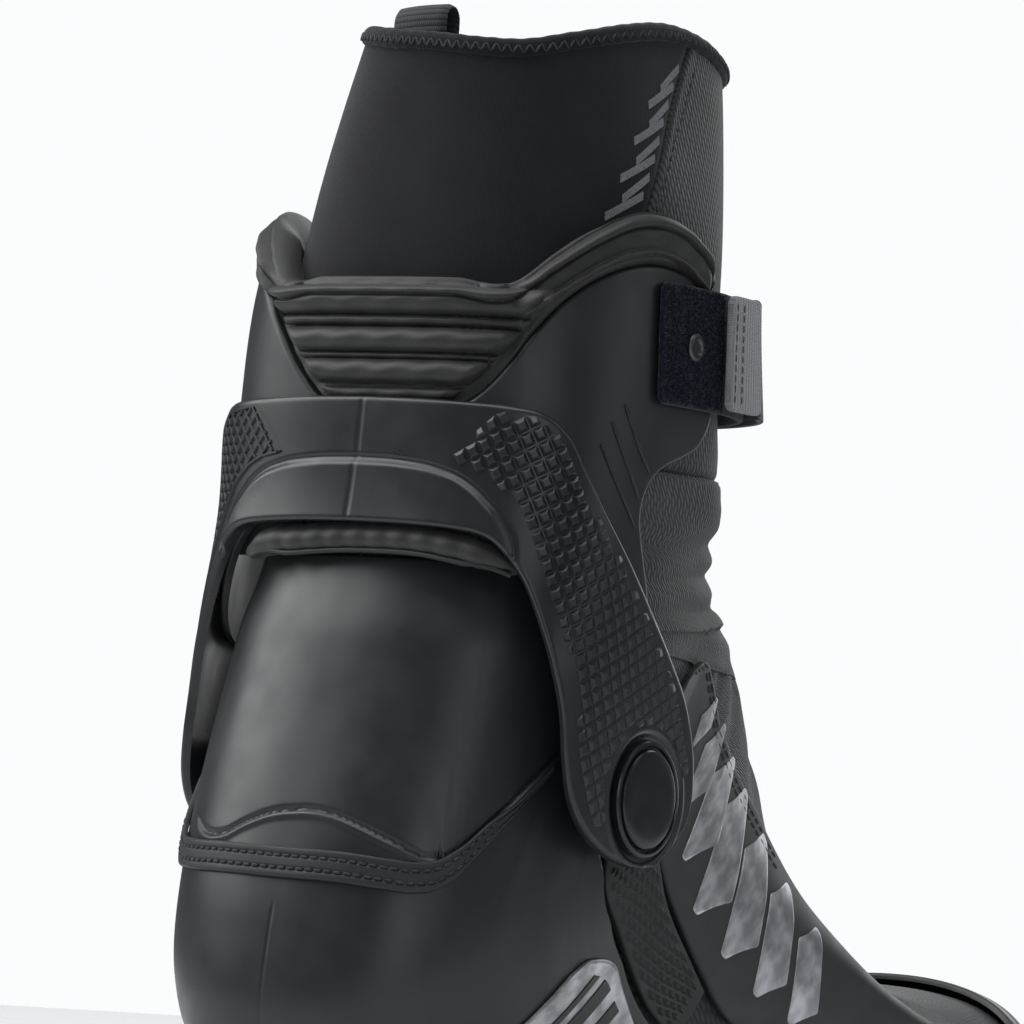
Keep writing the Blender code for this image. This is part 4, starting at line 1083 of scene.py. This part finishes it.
def make_pull_loop():
    rear = sleeve_off(0.0, RIM_REAR_Z, 0.0)[1]
    outside, within = rear + 5.1, rear + 8.6
    mid, half = (outside + within) / 2, (within - outside) / 2
    arch = [(mid - half * math.cos(a), RIM_REAR_Z + 2.7 + half * 1.3 * math.sin(a))
            for a in np.linspace(0, math.pi, 25)]
    low = [(outside + 0.55, z) for z in np.linspace(228, 233, 5)]
    low += [(outside, z) for z in np.linspace(235.5, 243.5, 6)]
    line = np.array(low + arch + [(within, z) for z in np.linspace(243.5, 230, 10)])
    for _ in range(3):
        line[1:-1] = (line[:-2] + 2 * line[1:-1] + line[2:]) / 4
    ribbon("pull_loop_webbing", line, 16, 1.2, loop_look, "cuff", "pull_loop", -6.5, 0.0215)


LOW_STRAP, HIGH_STRAP = 168.0, 193.0


def strap_piece(name, degrees, lift, thick, look, body, replaces, low=LOW_STRAP, high=HIGH_STRAP, corner=2.2):
    """Webbing round the cuff with rounded corners; lift is the clearance for each angle."""
    deg = np.asarray(degrees, float)
    t = np.radians(deg)[None, :]
    base = cuff_off(t[0], 180, 3)
    d = np.concatenate([[0], np.linalg.norm(np.diff(base, axis=0), axis=1).cumsum()])
    end = np.minimum(d, d[-1] - d)
    trim = corner - np.sqrt(np.clip(corner ** 2 - np.clip(corner - end, 0, corner) ** 2, 0, None))
    v = positions(26, high - low, 0.5)[:, None]
    z = (low + trim)[None] * (1 - v) + (high - trim)[None] * v
    lift = np.broadcast_to(lift, deg.shape)[None, :]
    near = edge_distance(cuff_off(t, z, lift + thick))
    drop = edge_drop(near, min(0.5, thick / 2))
    outer, inner = cuff_off(t, z, lift + thick - drop), cuff_off(t, z, lift + drop * 0.6)
    return solid(name, outer, inner, look, body, replaces, sharp=60)


def pile_lift(deg):
    return np.interp(deg, (71, 98, 112), (2.35, 2.2, 0.55))


def make_strap():
    under = np.concatenate([np.linspace(71.5, 112, 90), np.linspace(113, 226, 110)])
    strap_piece("strap_pile_band", under, pile_lift(under), 1.3, pile_look, "cuff", "strap_loop_band")
    rng = random.Random(7)
    at, ahead, normal, size = [], [], [], []
    for _ in range(2600):
        deg = rng.uniform(72.2, 97.5)
        z = rng.uniform(LOW_STRAP + 0.6, HIGH_STRAP - 0.6)
        p = cuff_off(math.radians(deg), z, pile_lift(deg) + 1.38 + rng.uniform(0, 0.3))
        n = np.array([p[0], 0.25 * (p[1] - 20), 0])
        n /= np.linalg.norm(n)
        a = rng.uniform(0, math.pi)
        side = np.array([-n[1], n[0], 0])
        at.append(p)
        ahead.append(side * math.cos(a) + np.array([0, 0, 1]) * math.sin(a) + n * rng.uniform(-0.35, 0.35))
        normal.append(n)
        size.append((rng.uniform(0.7, 1.3), 0.26, 0.34))
    beads("strap_pile_loops", at, ahead, normal, size, pile_look, "cuff", sides=4, rings=3)
    over = np.concatenate([np.linspace(109.4, 226, 130), np.linspace(227, 275.4, 60)])
    lift = np.interp(over, (109.4, 112, 150, 226), (5.0, 4.9, 2.6, 2.5))
    strap_piece("strap_webbing_band", over, lift, 1.4, strap_look, "strap", "strap_band",
                corner=0.6)
    tab_start = 94.4
    tab = np.linspace(tab_start, 108.9, 60)
    strap_piece("strap_end_tab", tab, 5.65, 1.7, tab_look, "strap", "strap_tab", low=168.6,
                high=192.4, corner=2.0)
    for offset, word in ((1.5, "front"), (4.6, "rear")):
        z = np.linspace(170, 191, 60)
        line, ahead = even_path(cuff_off(math.radians(tab_start + offset * 0.95), z, 7.42), 2.1)
        beads("tab_stitches_" + word, line, ahead, (1.0, -0.1, 0), (1.6, 0.45, 0.4),
              thread_look, "strap")
    keep = np.linspace(276.6, 290, 40)
    strap_piece("strap_keeper_web", keep, 2.5, 1.4, strap_look, "cuff", "strap_keeper",
                corner=1.0)


def lathe(name, profile, centre, side, look, body, replaces, seg=96, sharp=35):
    """profile: (x, radius) from the inside face outwards; turned about X through centre (y, z)."""
    a = np.linspace(0, TAU, seg, endpoint=False)
    points, faces = [], []
    for x, r in profile:
        points += [(side * x, centre[0] + r * math.cos(b), centre[1] + r * math.sin(b)) for b in a]
    rows = len(profile)
    for i in range(rows - 1):
        faces += [(i * seg + k, i * seg + (k + 1) % seg, (i + 1) * seg + (k + 1) % seg, (i + 1) * seg + k)
                  for k in range(seg)]
    faces.append(list(range(seg))[::-1])
    faces.append([(rows - 1) * seg + k for k in range(seg)])
    return place(name, points, faces, look, body, replaces, sharp=sharp)


def make_pivots():
    arm = abs(cuff_off(math.radians(80.0), PIVOT_Z, ARM_FACE)[0])
    head = ((-0.5, 6.0), (-0.5, 11.8), (0.55, 11.8), (0.85, 11.55), (0.95, 11.2), (0.95, 10.9), (0.75, 10.75),
            (0.15, 10.65), (0.05, 10.5), (0.05, 10.25), (0.2, 10.1), (0.95, 9.95), (1.2, 9.7), (1.3, 9.3),
            (1.42, 7.5), (1.5, 4.0), (1.52, 0.6))
    for side, word in ((1, "outer"), (-1, "inner")):
        profile = [(43.6, 5.6), (43.8, 6.0)] + [(arm + x, r) for x, r in head]
        lathe("pivot_button_" + word, profile, (0, PIVOT_Z), side, cap_look, "boot",
              ("pivot_cap_" + word, "pivot_washer_" + word), seg=128, sharp=30)
    rivet_z = (LOW_STRAP + HIGH_STRAP) / 2
    rivet = ((0.9, 2.6), (1.75, 2.9), (2.0, 2.8), (2.2, 2.6), (2.3, 2.3), (2.2, 1.9), (1.9, 1.7), (1.75, 1.5),
             (1.75, 0.7))
    for side, word, degrees in ((1, "outer", 84.0), (-1, "inner", 283.5)):
        at = cuff_off(math.radians(degrees), rivet_z, 2.4)
        profile = [(abs(at[0]) + x, r) for x, r in rivet]
        lathe("strap_rivet_head_" + word, profile, (at[1], rivet_z), side, rivet_look, "cuff",
              "strap_rivet_" + word, seg=40)


# ---------- the boot ----------
def ankle_cut(y):
    """Height of the upper's open edge at y."""
    return 126.0 - (y + 36) * 0.042


def gaiter_start(y):
    return ankle_cut(y) - 5.4


def make_upper():
    t = np.linspace(0, TAU, 300, endpoint=False)
    top = height_row(t, ankle_cut, 5.0, 16.5)
    v = np.concatenate([np.linspace(0, 0.985, 150), [0.993, 0.998, 1.0]])
    s = 0.15 + (top[None] - 0.15) * v[:, None]
    instep = smooth(np.cos(t[None] - math.pi), 0.2, 0.95) * smooth(s, 4.0, 6.5)
    wrinkle = 0.55 * np.sin(s * 7.3 + np.sin(t * 2) * 1.2) * instep + 0.3 * np.sin(s * 13 + t * 3) * instep
    edge = edge_drop((1 - v[:, None]) * 60, 0.8)
    outer = foot_off(t[None], s, -2.45 + wrinkle - edge)
    inner = foot_off(t[None], s, -4.3)
    solid("softshell_upper", outer, inner, lens_look, "boot", ("upper", "vamp"), wrap=True, cap=True,
          sharp=70)


GAITER_TOP = 155.0


def make_gaiter():
    """The stretch gaiter between upper and sleeve."""
    t = np.linspace(0, TAU, 360, endpoint=False)
    low = height_row(t, gaiter_start, 5.0, 16.9)
    high = height_row(t, GAITER_TOP, 5.0, 17.0)
    v = np.linspace(0, 1, 110)
    s = mixed(low, high, v)
    front = smooth(np.abs(np.mod(t, TAU) - math.pi), 2.1, 1.2)[None]
    z = foot_off(t[None], s, -1.9)[..., 2]
    ridge_line = z + 9 * np.abs(np.sin(t[None]))
    crease = 1.15 * np.exp(-(np.mod(ridge_line - 131.5, 200) / 2.3) ** 2)
    for height, level, half in ((1.0, 139, 2.0), (0.8, 146, 2.2), (0.7, 153, 2.0), (-0.6, 135.3, 1.2),
                                (-0.6, 142.6, 1.3), (-0.5, 149.6, 1.3)):
        crease = crease + height * np.exp(-((ridge_line - level) / half) ** 2)
    soft = 0.4 * np.sin(t[None] * 5 + z * 0.3) * np.sin(z * 0.5)
    off = -1.9 + (crease + soft) * front * smooth(v, 0, 0.1)[:, None]
    join = smooth(z, 139.0, 150.5)[..., None]
    tuck = 0.75 - 0.45 * smooth(z, GAITER_TOP - 1.2, GAITER_TOP)
    folded = 0.55 * (crease + soft) * front * smooth(z, GAITER_TOP, 149.0)
    grid = foot_off(t[None], s, off) * (1 - join) + sleeve_off(t[None], z, tuck + folded) * join
    under = foot_off(t[None], s, -3.4) * (1 - join) + sleeve_off(t[None], z, 0.14) * join
    points, faces = two_skins(grid, under, wrap=True)
    uv = grid_uv(grid)
    made = place("ankle_gaiter_stretch", points, faces, lens_look, None, "ankle_gaiter",
                 uv=np.concatenate([uv, uv]), sharp=80)
    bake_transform(made)


def counter_rows():
    """Angles round the heel, and the section positions of the counter's lower and upper edges."""
    deg = np.concatenate([np.linspace(-80, -50, 60), np.linspace(-49.7, 49.7, 240), np.linspace(50, 80, 60)])
    t = np.radians(deg)
    front = np.interp(np.abs(deg), (0, 45, 54, 59.5, 67.5, 74.5, 79, 80),
                      (8.2, 8.12, 8.14, 8.5, 9.0, 9.62, 10.3, 10.6))
    low = np.maximum(height_row(t, 33.0, 8.0, 14), front)
    high = height_row(t, lambda y: ankle_cut(y) - 1.5, 8, 16.5)
    return deg, t, low, high


# The counter's embossed line, in degrees and height.
EMBOSS = ((-40, 79.5), (-30, 75.5), (-22, 75.8), (-16, 78), (-8, 80.3), (0, 81.3), (6, 81.5), (12, 81), (20, 79.2),
          (30, 76.2), (38, 73.8), (42, 74.2), (48, 78.4), (54, 84.5), (60, 90.5), (66, 96))


def make_counter():
    deg, t, low, high = counter_rows()
    rise = 9.0 * smooth(np.abs(deg), 80, 70)
    raised = height_row(t, lambda y: ankle_cut(y) - 1.5 + rise, 8, 16.5)
    v = positions(245, 104, 0.7)
    s = mixed(low, raised, v)
    base = foot_off(t[None], s, 0.9)
    z = base[..., 2]
    lean = -1.6 * smooth(s, high[None] - 0.35, high[None] + 0.36)
    line = along(np.clip(deg, -40, 66), EMBOSS)[None]
    a = 44 * np.radians(deg)
    slope = np.gradient(line[0], a)[None]
    gap = (z - line) / np.sqrt(1 + slope ** 2)
    on = smooth(deg, -40, -34)[None] * smooth(deg, 68, 63)[None]
    emboss = on * (-0.5 * np.exp(-((gap - 0.1) / 0.5) ** 2) + 0.35 * np.exp(-((gap + 0.95) / 0.65) ** 2))
    seam_line = -0.14 * np.exp(-((base[..., 0] + 0.3) / 0.25) ** 2) * smooth(z, 64, 60)
    dent = -0.5 * np.exp(-((deg[None] - 18) / 16) ** 2 - ((z - 104) / 17) ** 2)
    drop = edge_drop(edge_distance(base), 0.8)
    outer = foot_off(t[None], s, 0.9 + emboss + seam_line + dent + lean - drop)
    inner = foot_off(t[None], s, -0.2 + 0.8 * lean)
    solid("heel_counter_shell", outer, inner, counter_look, "boot", "heel_counter", sharp=50)


# Lower edge of the tape round the heel, in degrees and height.
TRIM_LINE = (
    (-64, 90), (-58, 84.5), (-52, 77), (-47, 71.4), (-42, 68.4), (-36, 67.8), (-20, 67.6), (0, 67.4), (20, 67.2),
    (30, 66.6), (36, 66.4), (41, 67.4), (45, 70.2), (49, 75), (54, 81), (60, 87.6), (65, 93),
)


def trim_z(deg):
    return along(np.clip(deg, -64, 65), TRIM_LINE)


def trim_wide(deg):
    return np.interp(deg, (-64, -52, -46, 44, 50, 56, 65), (1.2, 3.4, 6.0, 6.0, 4.8, 2.2, 1.2))


def make_trim():
    deg = np.linspace(-63, 64, 300)
    base, wide = trim_z(deg), trim_wide(deg)
    low, high = height_row(np.radians(deg), base, 8, 16), height_row(np.radians(deg), base + wide, 8, 16)
    v = positions(26, 6.0, 0.6)
    seams = ((0.30, "low"), (0.70, "high"))

    def relief(t, s, base):
        share = np.linspace(0, 1, len(base))[:, None]
        return sum(-0.28 * np.exp(-((share - part) * 18) ** 2) for part, _ in seams)

    patch("heel_trim_tape", foot_off, np.radians(deg)[None], mixed(low, high, v), 1.15, 2.15, trim_look, "boot",
          "heel_trim", r=0.6, relief=relief, sharp=60)
    for part, word in seams:
        deg = np.linspace(-50, 52, 240)
        z = trim_z(deg) + trim_wide(deg) * part
        s = height_row(np.radians(deg), z, 8, 16)
        line, ahead = even_path(foot_off(np.radians(deg), s, 2.1), 2.15)
        normal = line * (1, 1, 0) + (0, 8, 0)
        beads("heel_trim_stitches_" + word, line, ahead, normal, (1.75, 0.62, 0.55), dark_thread_look, "boot")


# The side panels and their rubber grips from rear to toe: section, and the degrees of both edges.
PANEL_FACE = 0.7
PANEL = (
    (11.45, 108.5, 112), (11.3, 106, 116), (10.9, 103, 122), (10.4, 99, 122), (10.0, 95.3, 120.5), (9.6, 91, 118),
    (9.2, 87, 116), (8.6, 79, 113), (8.1, 70, 110.5), (7.6, 61, 107.5), (7.0, 57, 103), (6.3, 55, 99.5),
    (5.5, 54, 97.5), (4.6, 54, 95.5), (3.9, 54, 94), (3.3, 54, 92),
)
GRIP = ((10.95, 84, 99), (10.6, 81.5, 98), (10.2, 79, 94.6), (9.5, 74.5, 89.5), (8.9, 67.5, 81.5), (8.4, 59.5, 74),
        (8.0, 54, 66.5))


def side_point(rows, side, across, up):
    """Angle and section at a share across and a share along rows of (section, near edge, far edge)."""
    k = np.array(rows, float)
    s, low, high = (curve(up, np.linspace(0, 1, len(k)), k[:, c]) for c in range(3))
    return np.radians(low * (1 - across) + high * across) * side, s


def side_grid(rows, side, across, up):
    t, s = side_point(rows, side, across[None], up[:, None])
    return t, np.repeat(s, len(across), 1)


def make_side_panels():
    for side, word in ((1, "outer"), (-1, "inner")):
        panel, grip = word + "_side_panel", word + "_grip"
        t, s = side_grid(PANEL, side, positions(80, 60, 0.8), positions(240, 170, 0.8))
        patch(panel + "_film", foot_off, t, s, -0.8, PANEL_FACE, panel_look, "boot", panel, r=0.8, sharp=60)
        for inset, order in ((0.055, "first"), (0.105, "second")):
            t, s = side_point(PANEL, side, 1.0 - inset, np.linspace(0.045 + inset * 0.25, 0.60, 260))
            line, ahead = even_path(foot_off(t, s, PANEL_FACE + 0.02), 2.5)
            beads(word + "_panel_stitches_" + order, line, ahead, line * (1, 0, 0) + (0, 0, 12), (1.9, 0.5, 0.45),
                  dark_thread_look, "boot")
        t, s = side_grid(GRIP, side, positions(40, 12, 0.5), positions(120, 60, 0.5))
        patch(grip + "_rubber", foot_off, t, s, -0.6, 0.95, grip_look, "boot", grip, r=0.6, sharp=60)
        points, rows, columns = [], 27, 6
        for i in range(rows):
            for j in range(columns):
                v = 0.03 + i / rows * 0.94
                u = 0.12 + (j + (0.5 if i % 2 else 0)) / columns * 0.85
                if u > 0.93:
                    continue
                for half_u, half_v, lift in ((0.072, 0.032, 0.7), (0.018, 0.008, 1.45)):
                    for du, dv in ((0, half_v), (half_u, 0), (0, -half_v), (-half_u, 0)):
                        t, s = side_point(GRIP, side, u + du, np.clip(v + dv, 0, 1))
                        points.append(foot_off(t, s, lift))
        studs(grip + "_diamonds", points, (0, 1, 2, 3), (7, 6, 5, 4), grip_look, "boot")
        make_stripes(side, word)


def make_stripes(side, word):
    """A plain design of slanted silver bars in place of any lettering."""
    bars = ((10.35, 9.75, 112, 117.5), (9.85, 9.05, 102, 115), (9.3, 8.5, 94, 111.5), (8.75, 8.05, 85, 108.5),
            (8.2, 7.6, 78, 104), (7.7, 7.2, 72, 99), (7.25, 6.8, 68, 94))
    for n, (s_high, s_low, t_low, t_high) in enumerate(bars):
        corner, lean = 1.5, 5.5
        u, v = positions(40, 24, corner), positions(20, 8, corner)
        t = t_low + (t_high - t_low) * u[None] + lean * (v[:, None] - 0.5)
        rounding = 1 - 0.4 * (edge_drop(np.minimum(u, 1 - u) * 24, corner) / corner)[None]
        s = (s_high + s_low) / 2 + (s_low - s_high) * 0.62 * (v[:, None] - 0.5) * rounding + 0.14 * (u[None] - 0.5)
        patch("%s_panel_bar_%d" % (word, n + 1), foot_off, np.radians(t) * side, s, 0.55, 0.86, silver_look, "boot",
              slot=word + "_side_panel", r=0.15, sharp=60)


def make_badge():
    """A plain plate with three bars on the outer side of the heel."""
    rows = ((9.68, 50.5, 63), (9.6, 48, 66.2), (9.44, 46.2, 67.4), (9.26, 45.2, 67.6), (9.1, 44.6, 66.6),
            (8.9, 44.2, 63.6), (8.65, 44, 59.4), (8.45, 44.6, 55.4), (8.33, 46.4, 51.4))
    t, s = side_grid(rows, 1, positions(60, 12, 0.8), positions(70, 30, 0.8))
    patch("heel_badge_plate", foot_off, t, s, 1.1, 1.9, silver_look, "boot", "heel_badge", r=0.7,
          sharp=60)
    for n, (a, b) in enumerate(((0.30, 0.36), (0.44, 0.56), (0.64, 0.70))):
        t, s = side_grid(rows, 1, positions(30, 8, 0.3) * 0.7 + 0.15, a + (b - a) * positions(8, 2, 0.3))
        patch("heel_badge_bar_%d" % (n + 1), foot_off, t, s, 1.7, 2.1, cap_look, "boot", slot="heel_badge", r=0.15)


def make_toe_cap():
    t = np.radians(np.linspace(58, 302, 300))
    high = 2.95 - 0.5 * np.cos(t - math.pi) ** 2
    v = positions(80, 55, 0.8)
    s = mixed(np.full(t.shape, 0.08), high, v)
    patch("toe_cap_shell", foot_off, t[None], s, -0.8, PANEL_FACE, toe_look, "boot", "toe_cap", r=0.8,
          relief=lambda t, s, base: -0.5 * np.exp(-((s - (high[None] - 0.28)) / 0.035) ** 2), sharp=60)


def make_inner_floor():
    t = np.radians(np.linspace(-52, 52, 80))[None]
    s = np.linspace(1.9, 10.1, 140)[:, None]
    for name, node, inner, outer, look, pad in (
            ("lasting_board_fibre", "lasting_board", -7.4, -6.1, board_look, False),
            ("insole_foam", "insole", -11.2, -8.3, insole_look, True)):
        made = patch(name, foot_off, t, s, inner, outer, look, "boot", node, r=1.0, sharp=60)


def make_tongue():
    t = np.radians(np.linspace(142, 218, 90))[None]
    s = np.linspace(5.6, 10.0, 110)[:, None]
    made = patch("tongue_foam", foot_off, t, s, -10.6, -8.6, tongue_look, "boot", "tongue", r=1.0,
                 relief=lambda t, s, base: -0.5 * np.exp(-(np.sin(s * 3.1) / 0.12) ** 2) + 0.3 * np.cos(s * 6.2),
                 sharp=60)


def instep(s, off):
    """A point on the instep's middle line, and the slope there."""
    here = foot_off(math.pi, s, off)
    ahead = foot_off(math.pi, s - 0.1, off)
    a = math.atan2(ahead[2] - here[2], ahead[1] - here[1])
    return here, a


def block(name, centre, size, turn, look, body, replaces, r=0.6, shape=None):
    """A moulded block with rounded edges; shape may move its points before it is turned about X."""
    work = bmesh.new()
    bmesh.ops.create_cube(work, size=1.0)
    for p in work.verts:
        p.co = Vector((p.co.x * size[0], p.co.y * size[1], p.co.z * size[2]))
    bmesh.ops.subdivide_edges(work, edges=work.edges[:], cuts=3, use_grid_fill=True)
    if shape:
        for p in work.verts:
            p.co = Vector(shape(*p.co))
    spin = Matrix.Rotation(turn, 4, "X")
    for p in work.verts:
        p.co = (spin @ p.co + Vector(centre)) * MM
    mesh = bpy.data.meshes.new(name)
    work.to_mesh(mesh)
    work.free()
    mesh.materials.append(look.mat)
    made = link(name, mesh)
    bevel = made.modifiers.new("edges", "BEVEL")
    bevel.width, bevel.segments, bevel.limit_method, bevel.angle_limit = r * MM, 4, "ANGLE", math.radians(35)
    final = evaluated(made)
    made.modifiers.clear()
    made.data = final
    final.shade_smooth()
    final.set_sharp_from_angle(angle=math.radians(50))
    return assign(made, body, replaces)


def make_laces():
    turns = 6
    w = np.linspace(0, turns, turns * 40 + 1)
    t = math.pi + math.radians(21.0) * np.cos(w * math.pi)
    s = 5.9 + 1.75 * w / turns
    cord("quick_lace_cord", foot_off(t, s, -5.9), 1.1, lace_look, "boot", "laces")
    at, slope = instep(8.1, -6.3)
    block("lace_lock_body", at, (13, 7, 3.0), slope, lock_look, "boot", "lace_lock", 0.8,
          lambda x, y, z: (x * (1 - 0.12 * (y / 3.5) ** 2), y, z * (1 - 0.15 * (x / 6.5) ** 2)))
    back = np.array([0, -math.cos(slope), -math.sin(slope)])
    down = np.array([0, math.sin(slope), -math.cos(slope)])
    block("lace_lock_key", at + back * 6.8 + down * 1.2, (6, 3.2, 2.4), slope, button_look, "lock_button",
          "lace_lock_button", 0.5)


INSTEP_CENTRE = (181.24, 146.55)  # y and z of the axis about which the zip's slider runs


def make_zip():
    t = np.radians(np.linspace(175.2, 184.8, 24))[None]
    s = np.linspace(5.3, 7.9, 90)[:, None]
    patch("zip_tape_pair", foot_off, t, s, -3.9, -0.75, tape_look, "boot", "zip_chain", r=0.3)
    slider_at = 7.55
    teeth, ahead = even_path(foot_off(math.pi, np.linspace(5.35, slider_at, 90), -0.45), 1.25)
    side = np.array([1.0, 0, 0])
    shift = np.where(np.arange(len(teeth)) % 2 == 0, 0.7, -0.7)[:, None] * side
    normal = np.cross(ahead, side)
    beads("zip_teeth", teeth + shift, side + 0 * teeth, -normal, (2.6, 1.0, 0.9), teeth_look, "boot")
    top = foot_off(math.pi, slider_at, 2.9)
    slope = math.pi / 2 + math.atan2(top[2] - INSTEP_CENTRE[1], top[1] - INSTEP_CENTRE[0])
    block("zip_slider_body", top, (7, 9, 3.0), slope, slider_look, "zip", "zip_slider", 0.8,
          lambda x, y, z: (x * (0.82 + 0.18 * smooth(y, 0, -4)), y, z * (1 - 0.25 * smooth(y, 0, 4.5))))
    ahead = np.array([0, math.cos(slope), math.sin(slope)])
    out = np.array([0, -math.sin(slope), math.cos(slope)])
    pivot = top + out * 2.7 + ahead * 1.0
    block("zip_pull_tab", pivot + ahead * 8.0, (6, 17, 1.6), slope, pull_look, "zip_tab", "zip_pull", 0.5,
          lambda x, y, z: (x * (0.8 + 0.2 * smooth(y, -6, 4)), y, z * (0.75 + 0.25 * smooth(y, 0, 7))))


def smooth_shading(limit):
    """A modifier's node group that shades a mesh smooth but for edges sharper than limit degrees."""
    group = bpy.data.node_groups.new("smooth_shading", "GeometryNodeTree")
    group.interface.new_socket("Geometry", in_out="INPUT", socket_type="NodeSocketGeometry")
    group.interface.new_socket("Geometry", in_out="OUTPUT", socket_type="NodeSocketGeometry")
    start, end = group.nodes.new("NodeGroupInput"), group.nodes.new("NodeGroupOutput")
    faces, edges = group.nodes.new("GeometryNodeSetShadeSmooth"), group.nodes.new("GeometryNodeSetShadeSmooth")
    edges.domain = "EDGE"
    edges.inputs["Shade Smooth"].default_value = False
    angle, above = group.nodes.new("GeometryNodeInputMeshEdgeAngle"), group.nodes.new("FunctionNodeCompare")
    above.operation = "GREATER_THAN"
    above.inputs[1].default_value = math.radians(limit)
    for source, target, socket in ((start, faces, "Geometry"), (angle, above, 0), (faces, edges, "Geometry"),
                                   (above, edges, "Selection"), (edges, end, 0)):
        group.links.new(source.outputs[0], target.inputs[socket])
    return group


KEPT_SHADING = smooth_shading(limit=30)


def finish_kept(node, look, bevel):
    """A CAD node that stays gets its material, smooth shading, and small rounded edges."""
    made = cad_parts[node]
    made.data.materials.clear()
    made.data.materials.append(look.mat)
    shading = made.modifiers.new("shading", "NODES")
    shading.node_group = KEPT_SHADING
    edge = made.modifiers.new("edges", "BEVEL")
    edge.width, edge.segments, edge.limit_method, edge.angle_limit = bevel * MM, 3, "ANGLE", math.radians(38)
    edge.harden_normals = True


# ---------- camera and light ----------
CAMERA_AT = (0.6039, -0.9080, 0.0882)
CAMERA_AZIMUTH, CAMERA_ELEVATION, CAMERA_ROLL = 33.0, -3.0, 4.0
CAMERA_LENS, CAMERA_SENSOR = 185.6, 36.0
LIGHT_TARGET = (0.0, 0.02, 0.14)
# name, azimuth, elevation, distance, width, height, power
SOFTBOXES = (
    ("left_box", -64, 33, 1.3, 1.0, 1.1, 13.5),
    ("right_box", 116, 34, 1.3, 0.7, 1.2, 2),
    ("top_box", -20, 78, 1.2, 1.0, 1.0, 8),
    ("back_box", 190, 20, 1.4, 1.2, 1.2, 7),
    ("front_fill", 42, 14, 1.5, 0.8, 0.8, 2.6),
)


def aim(azimuth, elevation, roll):
    """A camera's or lamp's turn, and the direction from its target back to it."""
    a, e, r = (math.radians(v) for v in (azimuth, elevation, roll))
    back = Vector((math.sin(a) * math.cos(e), -math.cos(a) * math.cos(e), math.sin(e)))
    right = Vector((math.cos(a), math.sin(a), 0))
    up = back.cross(right)
    across = right * math.cos(r) + up * math.sin(r)
    upward = up * math.cos(r) - right * math.sin(r)
    return Matrix((across, upward, back)).transposed(), back


def make_camera():
    data = bpy.data.cameras.new("camera")
    data.lens, data.sensor_width = CAMERA_LENS, CAMERA_SENSOR
    data.clip_start, data.clip_end = 0.05, 20
    camera = link("camera", data)
    turn, _ = aim(CAMERA_AZIMUTH, CAMERA_ELEVATION, CAMERA_ROLL)
    camera.matrix_world = Matrix.Translation(CAMERA_AT) @ turn.to_4x4()
    bpy.context.scene.camera = camera


def softbox(name, azimuth, elevation, distance, width, height, power):
    data = bpy.data.lights.new(name, "AREA")
    data.shape = "RECTANGLE"
    data.size, data.size_y, data.energy = width, height, power
    turn, back = aim(azimuth, elevation, 0.0)
    lamp = link(name, data)
    lamp.matrix_world = Matrix.Translation(Vector(LIGHT_TARGET) + back * distance) @ turn.to_4x4()


def make_studio():
    world = bpy.data.worlds.new("studio")
    bpy.context.scene.world = world
    world.use_nodes = True
    tree = world.node_tree
    path = tree.nodes.new("ShaderNodeLightPath")
    dim = tree.nodes["Background"]
    dim.inputs["Color"].default_value = (0.80, 0.86, 0.90, 1)
    dim.inputs["Strength"].default_value = 0.16
    seen = tree.nodes.new("ShaderNodeBackground")
    seen.inputs["Color"].default_value = (0.965, 0.98, 0.985, 1)
    mix = tree.nodes.new("ShaderNodeMixShader")
    tree.links.new(path.outputs["Is Camera Ray"], mix.inputs[0])
    tree.links.new(dim.outputs[0], mix.inputs[1])
    tree.links.new(seen.outputs[0], mix.inputs[2])
    tree.links.new(mix.outputs[0], tree.nodes["World Output"].inputs["Surface"])
    work = bmesh.new()
    bmesh.ops.create_circle(work, cap_ends=True, segments=160, radius=0.78)
    bmesh.ops.translate(work, verts=work.verts, vec=(0.02, 0.05, -0.0004))
    mesh = bpy.data.meshes.new("floor")
    work.to_mesh(mesh)
    work.free()
    look = Look("pale_floor", (0.86, 0.87, 0.88), 0.7, object_space=True)
    look.tint(look.noise(90, 2), (0.90, 0.90, 0.90), 0.3, 0.7)
    mesh.materials.append(look.mat)
    floor = link("floor", mesh)
    for row in SOFTBOXES:
        softbox(*row)
    bpy.context.scene.view_settings.view_transform = "Standard"


for make in (make_camera, make_studio, make_frame, make_outer_knurl, make_inner_lattice, make_shell, make_collar,
             make_roll, make_sleeve, make_sleeve_marks, make_binding, make_pull_loop, make_strap, make_pivots,
             make_upper, make_gaiter, make_counter, make_trim, make_side_panels, make_badge, make_toe_cap,
             make_inner_floor, make_tongue, make_laces, make_zip):
    make()
for node, look, bevel in (("chassis", chassis_look, 0.6), ("heel_sole", sole_look, 0.5),
                          ("front_sole", sole_look, 0.5), ("toe_bar_bracket", bracket_look, 0.4),
                          ("toe_bar", steel_look, 0.25)):
    finish_kept(node, look, bevel)
